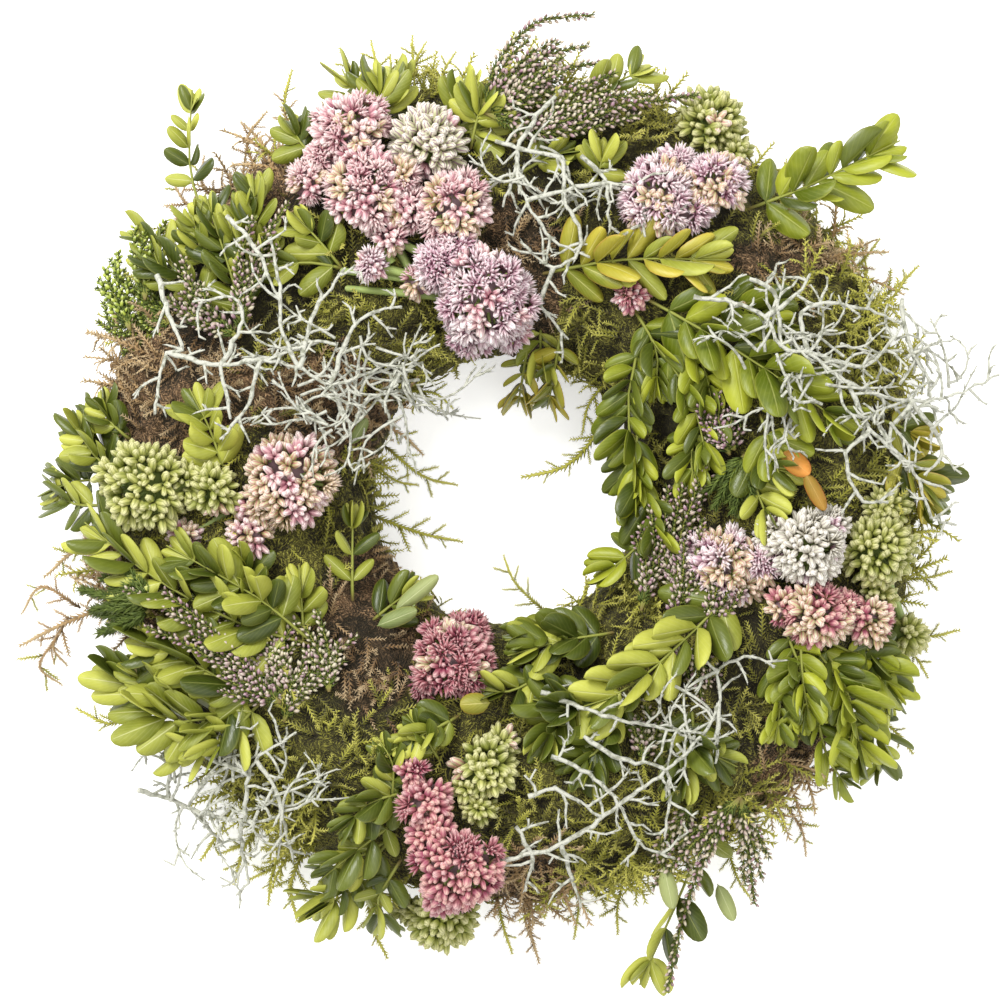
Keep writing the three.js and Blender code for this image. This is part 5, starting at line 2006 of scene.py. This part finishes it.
@dataclass(frozen=True)
class LooseLeaves:
    """Single leaves of one finish among the foliage: foot, heading in degrees, length and slimness."""

    finish: str
    rows: list[list[float]]

    def spot(self, row: Sequence[float]) -> Row:
        """Lays a leaf, a little raised at its tip."""
        *foot, heading, length, slim = row
        angle = math.radians(heading)
        ahead = Vector((math.cos(angle), math.sin(angle), 0.12)).normalized()
        side = UP.cross(ahead).normalized()
        columns = [ahead * length, side * length * slim, ahead.cross(side) * length]
        return np.array(columns).T, on_ridge(foot), chance(heading)

    def build(self, forms: Forms, materials: Materials) -> None:
        """Builds the leaves as one piece."""
        fallen = Gathering()
        fallen.scatter(forms.leaves[0], spots_from([self.spot(row) for row in self.rows]))
        fallen.piece(self.finish, Tone.BOX_LIGHT, [materials[self.finish]])


# Single leaves under their finish: the foot, the heading in degrees, the length and the slimness
LOOSE_PLAN = """
autumn_leaf
108 15 12 -39 14 .62
117 7 12 -62 17 .36
golden_leaf
-7 -84 13 184 12 .72
sage_leaf
-45 -48 6 39 22 .3
-52 -54 6 22 17 .4
62 -150 8 -78 17 .42
84 -158 8 -66 16 .4
-62 18 12 60 12 .4
"""


@dataclass(frozen=True)
class Stalks:
    """The fleshy stonecrop stalks that lie bare over the hole's upper edge."""

    paths: tuple[tuple[Point, ...], ...] = (
        ((-12, 80, 2), (-42, 84, 3), (-66, 87, 1)), ((-16, 76, 1), (-40, 78, 2), (-64, 80, 0)),
        ((-30, 92, 2), (-42, 98, 4), (-52, 110, 3)), ((-46, 90, 5), (-52, 100, 6), (-54, 112, 4))
    )
    radius: float = 1.9

    def build(self, forms: Forms, materials: Materials) -> None:
        """Builds the stalks."""
        bundle = Gathering()
        rods = [ridge_walk(path).rod(8, self.radius, 1.0, 0.7) for path in self.paths]
        bundle.add(bent_rods(rods, 8), 0.5)
        bundle.piece("sedum_stalks", Tone.FLORETS_GREEN, [materials["stalks"]])


MOSS_PLACES = ("right_upper", "top", "left_upper", "left_lower", "bottom", "right_lower")


# Patches of moss that is dry and brown, or in deep shade: each one's middle and its half widths
BROWN_PATCHES = np.array([
    (-101, 140, 18, 22), (-118, 108, 30, 14), (-135, 40, 36, 30), (-72, 34, 26, 22), (5, 86, 17, 34),
    (-55, -56, 19, 34), (9, -164, 14, 24), (-166, -52, 26, 20), (-106, 118, 22, 16),
    (121, -112, 24, 14), (112, 92, 32, 7)
])


def is_in(patches: Array, places: Array) -> Array:
    """Says for each place whether it is in one of some patches."""
    shares = (places[:, None, :2] - patches[:, :2]) / patches[:, 2:]
    return ((shares**2).sum(2) < 1).any(1)


# Patches of painted shade: the bed and the fronds there are coloured darker
SHADY_PATCHES = np.array([
    (44, 136, 24, 18), (-60, -72, 22, 22), (62, 30, 16, 34), (24, 112, 20, 18), (92, -72, 12, 26),
    (-112, 80, 30, 30), (20, -76, 22, 14)
])


@functools.cache
def cover() -> Array:
    """Lists where foliage hides the moss: x, y and how far it reaches."""
    rows = [(*head.at[:2], head.radius) for heads in HEADS.values() for head in heads[0]]
    for stem in (stem for bunch in box_bunches() for stem in bunch.stems):
        path = Walk([Vector(p) for p in stem.path])
        rows += [(p.x, p.y, stem.leaf * 0.4) for p in path.places(7)]
    return np.array(rows)


def is_bare(places: Array) -> Array:
    """Says for each place whether no foliage hides it."""
    hidden = cover()
    gaps = np.hypot(places[:, None, 0] - hidden[None, :, 0], places[:, None, 1] - hidden[None, :, 1])
    return (gaps > hidden[None, :, 2]).all(1)


@dataclass(frozen=True)
class Wisp:
    """A long moss wisp: where it leaves the moss, where it ends, and how far it bows to its left."""

    root: Point
    tip: Point
    bow: float


# Each long wisp's root and tip, with their true heights, and its bow
LONG_WISPS = """
134 84 20 152 103 10 0   140 72 22 168 92 10 0   142 66 20 163 74 8 0   152 12 20 183 3 8 0
152 -20 20 178 -17 8 0   150 -36 20 182 -33 8 0   148 -50 20 185 -57 10 0   146 -62 18 172 -77 8 0
136 -84 20 166 -108 8 0   110 -124 18 122 -150 8 0   88 -138 18 100 -168 8 0
50 -150 18 45 -182 8 0   30 -152 18 27 -184 8 0   8 -156 18 13 -194 6 0   -6 -156 18 2 -190 6 0
-56 -150 16 -49 -192 6 0   -70 -142 18 -76 -178 6 0   -84 -134 18 -98 -170 8 0
-94 -126 18 -112 -162 6 0   -104 -112 20 -126 -152 6 0   -154 -44 20 -200 -64 9 .15
-183 -59 13 -182 -80 6 -.35   -179 -52 15 -180 -72 7 -.2   -174 -48 16 -199 -51 8 -.3
-154 -42 20 -190 -36 8 -.35   -146 -76 18 -177 -89 8 .2   -98 -118 20 -118 -149 6 .2
-78 -138 18 -86 -177 6 -.2   -90 -130 18 -107 -160 6 .3   -112 112 22 -124 137 10 .2
-104 118 22 -108 150 12 -.2   -98 122 22 -98 155 12 .2   -92 126 22 -88 151 12 .3
-120 106 22 -138 129 10 .2   -84 132 20 -88 172 12 0   -62 146 20 -69 181 10 0
-52 150 22 -56 184 12 0   -46 152 24 -48 178 14 0   -36 154 24 -33 183 16 0
-28 150 24 -21 179 14 0   -30 154 22 -39 186 12 0   -44 40 30 -22 33 22 0   -50 18 30 -20 2 20 0
-56 12 30 -36 2 18 0   -56 -10 30 -18 -21 18 0   16 -50 26 -2 -26 20 0   44 34 30 5 5 20 0
46 50 34 30 22 24 0   -64 30 40 -34 14 22 0   -60 -26 40 -36 -40 24 0
"""


Ground = tuple[Array, Array]


def round_ring(places: Array) -> Array:
    """Gives for each place the direction round the ring."""
    return unit(np.stack([-places[:, 1], places[:, 0], np.zeros(len(places))], 1))


@dataclass(frozen=True)
class MossPad:
    """One moss pad: a lumpy bed wrapped over the straw, thick with fronds and fringed with strands."""

    index: int
    half_width: float = 56.0
    rise: float = 44.0
    middle: float = 20.0
    first_degree: float = -18.0
    last_degree: float = 198.0
    overlap_degrees: float = 0.5
    arc_points: int = 66
    sweep_steps: int = 46
    flank_share: float = 0.3
    tufts: int = 26
    tuft_fronds: int = 5
    loose_fronds: int = 790
    strands: int = 62
    hollow: tuple[tuple[float, float], ...] = (
        (-31.3, 7), (-31.3, 29.6), (-14.5, 44.3), (14.5, 44.3), (31.3, 29.6), (31.3, 7)
    )

    @property
    def place(self) -> str:
        """Names the pad's place on the ring."""
        return MOSS_PLACES[self.index]

    def rank(self, place: Vector, start: float, step: float) -> float:
        """Numbers a face by its place, because Blender spins them in another order each run."""
        turn = (math.atan2(place.y, place.x) - start) % TURN // step
        return turn * 10 + math.atan2(place.z - self.middle, math.hypot(place.x, place.y) - RING_RADIUS)

    def bed(self) -> Shape:
        """Models the bed: its section is drawn as an outline, spun round the ring and made lumpy."""
        start = TURN * self.index / len(MOSS_PLACES) - math.radians(self.overlap_degrees)
        sweep = TURN / len(MOSS_PLACES) + 2 * math.radians(self.overlap_degrees)
        outline = []
        for i in range(self.arc_points + 1):
            angle = math.radians(blend(self.first_degree, self.last_degree, i / self.arc_points))
            radius = RING_RADIUS + self.half_width * math.cos(angle)
            outline.append((radius, self.middle + self.rise * math.sin(angle)))
        outline += [(RING_RADIUS + u, z) for u, z in self.hollow]
        bed = Workshop.start(
            bpy.ops.mesh.primitive_circle_add, vertices=len(outline), radius=1, fill_type="NOTHING"
        )
        mesh = bmesh.from_edit_mesh(bed.data)
        for vertex, (radius, z) in zip(mesh.verts, outline, strict=True):
            vertex.co = Vector((radius * math.cos(start), radius * math.sin(start), z))
        bmesh.update_edit_mesh(bed.data)
        bpy.ops.mesh.select_all(action="SELECT")
        bpy.ops.mesh.spin(steps=self.sweep_steps, angle=sweep, center=(0, 0, 0), axis=(0, 0, 1))
        mesh = bmesh.from_edit_mesh(bed.data)
        mesh.faces.sort(
            key=lambda face: self.rank(face.calc_center_median(), start, sweep / self.sweep_steps)
        )
        bmesh.update_edit_mesh(bed.data)
        Workshop.finish(bed)
        for size, strength, middle in ((9.0, 7.5, 0.6), (2.6, 2.6, 0.6)):
            lumps = bpy.data.textures.new("moss_lumps", "CLOUDS")
            lumps.noise_scale = size
            Workshop.apply(
                bed, "DISPLACE", texture=lumps, texture_coords="LOCAL", strength=strength, mid_level=middle
            )
        bpy.ops.object.mode_set(mode="EDIT")
        bpy.ops.mesh.select_all(action="DESELECT")
        bpy.ops.mesh.select_non_manifold()
        bpy.ops.mesh.fill_holes(sides=0)
        return Shape.taken_from(Workshop.finish(bed))

    def section(self, points: Array) -> tuple[Array, Array]:
        """Gives how far across and up the bed's section points lie, as shares of its half sizes."""
        across = (np.hypot(points[:, 0], points[:, 1]) - RING_RADIUS) / self.half_width
        return across, (points[:, 2] - self.middle) / self.rise

    def measured(self, bed: Shape) -> tuple[Shape, Array]:
        """Marks how high each point of the bed stands and how shady it is, for its painted shade, and how
        dry it is.
        """
        height = np.clip((np.hypot(*self.section(bed.points)) - 0.94) / 0.12, 0, 1)
        shade = 0.75 * is_in(SHADY_PATCHES, bed.points)
        marks = np.stack([height[bed.corners], shade[bed.corners]], 1)
        return replace(bed, marks=marks), is_in(BROWN_PATCHES, bed.points).astype(float)

    def ground(self, bed: Shape) -> Ground:
        """Gives the middles of the bed's outer faces, and each one's chance to bear moss."""
        first = (np.cumsum(bed.sizes) - bed.sizes)[bed.sizes == 4]
        corners = [bed.points[bed.corners[first + k]] for k in range(4)]
        middles = np.mean(corners, 0)
        area = np.linalg.norm(np.cross(corners[2] - corners[0], corners[3] - corners[1]), axis=1)
        is_outer = (np.hypot(*self.section(middles)) > 0.8) & (middles[:, 2] > 8)
        is_high = middles[:, 2] > self.middle + self.rise * 0.25
        weight = area * is_outer * np.where(is_high, 1.0, self.flank_share)
        return middles, weight / weight.sum()

    def spread(self, ground: Ground, count: int, rng: np.random.Generator) -> tuple[Array, ...]:
        """Picks places on the bed, even by area and fewer on its flanks.

        Args:
            ground: The bed's middles and their chances.
            count: How many.
            rng: The source of chance.

        Returns:
            The places, the bed's outward directions there, and the angles round its section.
        """
        middles, chances = ground
        places = middles[rng.choice(len(middles), count, p=chances)] + rng.normal(0, 0.8, (count, 3))
        across, height = self.section(places)
        normals = unit(places * [1, 1, 0]) * (across / self.half_width)[:, None]
        normals[:, 2] = height / self.rise
        normals = unit(normals)
        is_open = is_bare(places)
        return places[is_open], normals[is_open], np.arctan2(height, across)[is_open]

    def lay(self, roots: Array, forward: Array, up: Array, length: Array) -> tuple[Array, Array]:
        """Turns fronds, and lifts those whose tips would go through the table.

        Args:
            roots: Where they start.
            forward: Where they look.
            up: What their backs face.
            length: How long they are.

        Returns:
            Their turns and their places.
        """
        forward = unit(forward)
        turns = facing(forward, up) * length[:, None, None]
        tips = roots + forward * length[:, None]
        places = roots.copy()
        places[:, 2] += np.maximum(0, 4 - tips[:, 2])
        return turns, places

    def tuft_spots(self, ground: Ground, rng: np.random.Generator) -> Spots:
        """Lays the fronds in tufts, which spread from their middle like a fountain."""
        places, normals, _ = self.spread(ground, self.tufts, rng)
        count = len(places)
        normals = np.repeat(normals, self.tuft_fronds, 0)
        roots = np.repeat(places, self.tuft_fronds, 0) - normals
        around = rng.random(count * self.tuft_fronds) * TURN
        side = unit(np.cross(normals, [[0.3, 0.5, 0.81]]))
        over = np.cross(normals, side)
        lean = side * np.cos(around)[:, None] + over * np.sin(around)[:, None]
        steep = rng.uniform(0.2, 0.8, (len(roots), 1))
        length = rng.uniform(9, 15, len(roots))
        turns, roots = self.lay(roots, lean + normals * steep, normals, length)
        tints = np.clip(
            np.repeat(rng.random(count), self.tuft_fronds) + rng.normal(0, 0.15, len(roots)), 0, 1
        )
        return Spots(turns, roots, tints)

    def loose_spots(self, ground: Ground, rng: np.random.Generator) -> Spots:
        """Lays single fronds over the bed, combed much alike near by, and down its flanks."""
        places, normals, angle = self.spread(ground, self.loose_fronds, rng)
        count = len(places)
        around = round_ring(places)
        down = np.cross(around, normals)
        down *= np.where(down[:, 2:] > 0, -1, 1)
        comb = np.sin(places[:, 0] / 14) + np.cos(places[:, 1] / 11) + np.sin(places[:, :2].sum(1) / 23)
        heading = 2.2 * comb + rng.normal(0, 0.7, count)
        steep = np.clip(1 - np.sin(angle), 0, 1)
        lie = unit(around * np.cos(heading)[:, None] + down * (np.sin(heading) + steep)[:, None])
        tilt = rng.uniform(0.15, 0.65, (count, 1))
        length = rng.uniform(9, 16, count)
        turns, roots = self.lay(places, lie + normals * tilt, normals, length)
        return Spots(turns, roots, rng.random(count))

    def strand_spots(self, ground: Ground, rng: np.random.Generator) -> Spots:
        """Lays the long strands of the fringe, which look out of the pad's rims."""
        places, normals, angle = self.spread(ground, self.strands * 8, rng)
        is_rim = (np.cos(angle) > 0.55) | ((np.cos(angle) < -0.6) & (rng.random(len(angle)) < 0.45))
        rim = np.nonzero(is_rim)[0][: self.strands]
        places, normals, angle = places[rim], normals[rim], angle[rim]
        count = len(places)
        around = round_ring(places)
        forward = normals + around * rng.uniform(-0.9, 0.9, (count, 1))
        forward[:, 2] *= 0.5
        length = np.where(np.cos(angle) > 0, rng.uniform(17, 30, count), rng.uniform(10, 18, count))
        up = normals + np.array([0, 0, 0.8]) + around * rng.uniform(-1.2, 1.2, (count, 1))
        turns, roots = self.lay(places - normals * 5, forward, up, length)
        return Spots(turns, roots, rng.uniform(0.4, 1, count))

    def wisps(self, forms: Forms) -> list[Shape]:
        """Lays the long wisps that leave this pad, with their side fronds."""
        shapes = []
        for k, ends in enumerate(by(7, [float(number) for number in LONG_WISPS.split()])):
            wisp = Wisp(ends[:3], ends[3:6], ends[6])
            turn = math.atan2(wisp.root[1], wisp.root[0]) % TURN
            if int(turn / TURN * len(MOSS_PLACES)) != self.index:
                continue
            root, tip = Vector(wisp.root), Vector(wisp.tip)
            bend = Vector((root.y - tip.y, tip.x - root.x, 0)) * (0.18 * sway(k) + wisp.bow)
            walk = Walk([root, root.lerp(tip, 0.6) + bend + UP * 3, tip])
            shapes.append(forms.long_strand.along(walk, max(26.0, walk.length * 0.85)))
            count = round(walk.length / 7)
            for i in range(count):
                at = blend(0.2, 0.85, i / count)
                along = walk.along(at)
                side = along.cross(UP).normalized() * (1 if i % 2 else -1)
                length = blend(13, 6, at) * (1 + 0.3 * sway(k * 50 + i))
                shapes.append(forms.fronds[1].moved(turn_to(side + along * 0.9, UP, length), walk.at(at)))
        return shapes

    def build(self, forms: Forms, materials: Materials) -> None:
        """Builds the bed, which stands for the CAD node, and the moss that grows on it."""
        rng = np.random.default_rng(700 + self.index)
        bed = Gathering()
        model = self.bed()
        ground = self.ground(model)
        bed.add(*self.measured(model))
        slot = Tone.MOSS_BROWN if self.place == "left_upper" else Tone.MOSS_GREEN
        made = bed.piece(f"moss_bed_{self.place}", slot, [materials["moss_beds"]])
        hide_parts(f"moss_{self.place}")
        green, brown = Gathering(), Gathering()
        chosen = []
        for kinds, spots in (
            (forms.strands, self.strand_spots(ground, rng)), (forms.fronds, self.tuft_spots(ground, rng)),
            (forms.fronds, self.loose_spots(ground, rng))
        ):
            form = rng.integers(0, len(kinds), len(spots.places))
            chosen += [(shape, spots.chosen(form == k)) for k, shape in enumerate(kinds)]
        for form, spots in chosen:
            shifted = spots.places[:, :2] + rng.normal(0, 4, (len(spots.places), 2))
            dry = is_in(BROWN_PATCHES, shifted)
            # Painted shade: fronds in the shady patches take tones nearer their deep one
            spots.tints[is_in(SHADY_PATCHES, shifted)] *= 0.35
            green.scatter(form, spots.chosen(~dry))
            brown.scatter(form, spots.chosen(dry))
        for shape in self.wisps(forms):
            (brown if is_in(BROWN_PATCHES, shape.points[:1])[0] else green).add(shape, 0.8)
        for tone, growth in ((Tone.MOSS_GREEN, green), (Tone.MOSS_BROWN, brown)):
            if growth.shapes:
                growth.piece(f"{tone}_fronds_{self.place}", tone, [materials[tone]])


@dataclass(frozen=True)
class Ring:
    """The straw ring and its binding wire, which keep their CAD shapes."""

    def dress(self, nodes: dict[str, bpy.types.Object]) -> None:
        """Gives both their materials."""
        for node, material in (
            ("straw_ring", StrawFinish().material("straw")), ("binding_wire", WireFinish().material("wire"))
        ):
            mesh = nodes[node].data
            mesh.materials.clear()
            mesh.materials.append(material)


@dataclass(frozen=True)
class FloorFinish(Finish):
    """The floor's pale paint, which glows a little."""

    shade: int = 0xF9F9F7
    glow: float = 0.5

    def paint(self, graph: Graph) -> None:
        """Sets the shader's values."""
        graph.shade({"Base Color": linear(self.shade), "Roughness": 0.9})
        graph.shade({"Emission Color": (1, 1, 1, 1), "Emission Strength": self.glow})


@dataclass(frozen=True)
class Studio:
    """A pale floor, soft light and a camera that looks straight down."""

    view_width: float = 0.4
    middle: tuple[float, float] = (-3.2, -4.0)
    subject_height: float = 0.05
    distance: float = 1.9
    sensor: float = 36.0
    floor_size: float = 6.0

    def build(self) -> None:
        """Builds the floor, the lights and the camera."""
        self.floor()
        self.light("key", (-0.75, 0.95, 1.5), 0.9, 34)
        self.light("fill", (1.0, -0.7, 1.3), 1.6, 6)
        self.light("top", (0.1, 0.1, 2.4), 1.6, 12)
        bpy.context.scene.view_settings.view_transform = "Standard"
        world = bpy.data.worlds.new("studio")
        world.use_nodes = True
        graph = Graph(world.node_tree)
        graph.feed_all(world.node_tree.nodes["Background"], {"Color": (1, 1, 1, 1), "Strength": 0.66})
        bpy.context.scene.world = world
        self.camera()

    def floor(self) -> None:
        """Lays the floor."""
        bpy.ops.object.select_all(action="DESELECT")
        bpy.ops.mesh.primitive_plane_add(size=self.floor_size, location=(0, 0, -0.0005))
        floor = bpy.context.active_object
        floor.name = "floor"
        floor.data.materials.append(FloorFinish().material("floor"))

    def light(self, name: str, place: Point, size: float, power: float) -> None:
        """Hangs one soft light that looks at the wreath."""
        data = bpy.data.lights.new(name, "AREA")
        data.shape = "DISK"
        data.size = size
        data.energy = power
        lamp = placed(name, data)
        lamp.location = place
        lamp.rotation_euler = (-Vector(place)).to_track_quat("-Z", "Y").to_euler()

    def camera(self) -> None:
        """Sets up the camera, far above and with a long lens."""
        data = bpy.data.cameras.new("camera")
        data.sensor_width = self.sensor
        data.lens = self.sensor * self.distance / self.view_width
        camera = placed("camera", data)
        x, y = (axis + shift * MM for axis, shift in zip(ring_axis(), self.middle, strict=True))
        camera.location = (x, y, self.subject_height + self.distance)
        bpy.context.scene.camera = camera


BLOOMS = {
    "white_top": Bloom(Tone.FLORETS_WHITE, "white_buds", "pink_petals", 0.08, 0, 7.8, 5.4, 9.0),
    "white_right": Bloom(Tone.FLORETS_WHITE, "silky_buds", "lilac_petals", 0.15, 0.2, 6.4, 5.0, 7.6),
    "pink_top": Bloom(Tone.FLORETS_PINK, "pink_petals", "cream_buds", 0.25, 0.65),
    "pink_left": Bloom(Tone.FLORETS_PINK, "cream_buds", "pink_petals", 0.3, 0.25),
    "pink_right": Bloom(Tone.FLORETS_PINK, "rosy_buds", "cream_buds", 0.4, 0.45),
    "pink_small": Bloom(Tone.FLORETS_PINK, "rosy_buds", "pink_petals", 0.3, 0.3),
    "lilac": Bloom(Tone.FLORETS_PINK, "lilac_petals", "pink_petals", 0.25, 0.95),
    "pale": Bloom(Tone.FLORETS_PINK, "lilac_petals", "cream_buds", 0.25, 0.8),
    "magenta_hole": Bloom(Tone.FLORETS_MAGENTA, "deep_petals", "cream_buds", 0.15, 0.85),
    "magenta_bottom": Bloom(Tone.FLORETS_MAGENTA, "deep_petals", "rosy_buds", 0.5, 0.4),
    "green": Bloom(Tone.FLORETS_GREEN, "green_buds", "cream_buds", 0.06, 0, 7.4, 5.4, 8.8, 5)
}


def bloom_of(node: str) -> Bloom:
    """Finds how a stonecrop node blooms."""
    kind = node.removeprefix("sedum_")
    return next(bloom for name, bloom in BLOOMS.items() if kind.startswith(name))


def stonecrops() -> list[Stonecrop]:
    """Gives each stonecrop node its heads, its bloom and its number."""
    nodes = enumerate(HEADS.items())
    return [Stonecrop(node, sum(heads, ()), bloom_of(node), number) for number, (node, heads) in nodes]


def plants() -> list[MossPad | BoxBunch | Stonecrop | HeatherSpray | Stalks | LooseLeaves | SilverBush]:
    """Lists the wreath's plants in their order of building."""
    return [
        *(MossPad(index) for index in range(len(MOSS_PLACES))), *box_bunches(), *stonecrops(), *sprays(),
        Stalks(), *(LooseLeaves(words[0], rows) for words, rows in read_plan(LOOSE_PLAN)),
        *(SilverBush(node, twigs, number) for number, (node, twigs) in enumerate(SILVER.items()))
    ]


def main() -> None:
    """Builds the wreath round its frame, piece by piece."""
    logging.basicConfig(level=logging.INFO, format="%(message)s")
    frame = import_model()
    materials = build_materials()
    forms = Forms.model()
    Ring().dress(frame["nodes"])
    for plant in plants():
        plant.build(forms, materials)
    Studio().build()
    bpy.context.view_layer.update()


if __name__ == "__main__":
    main()
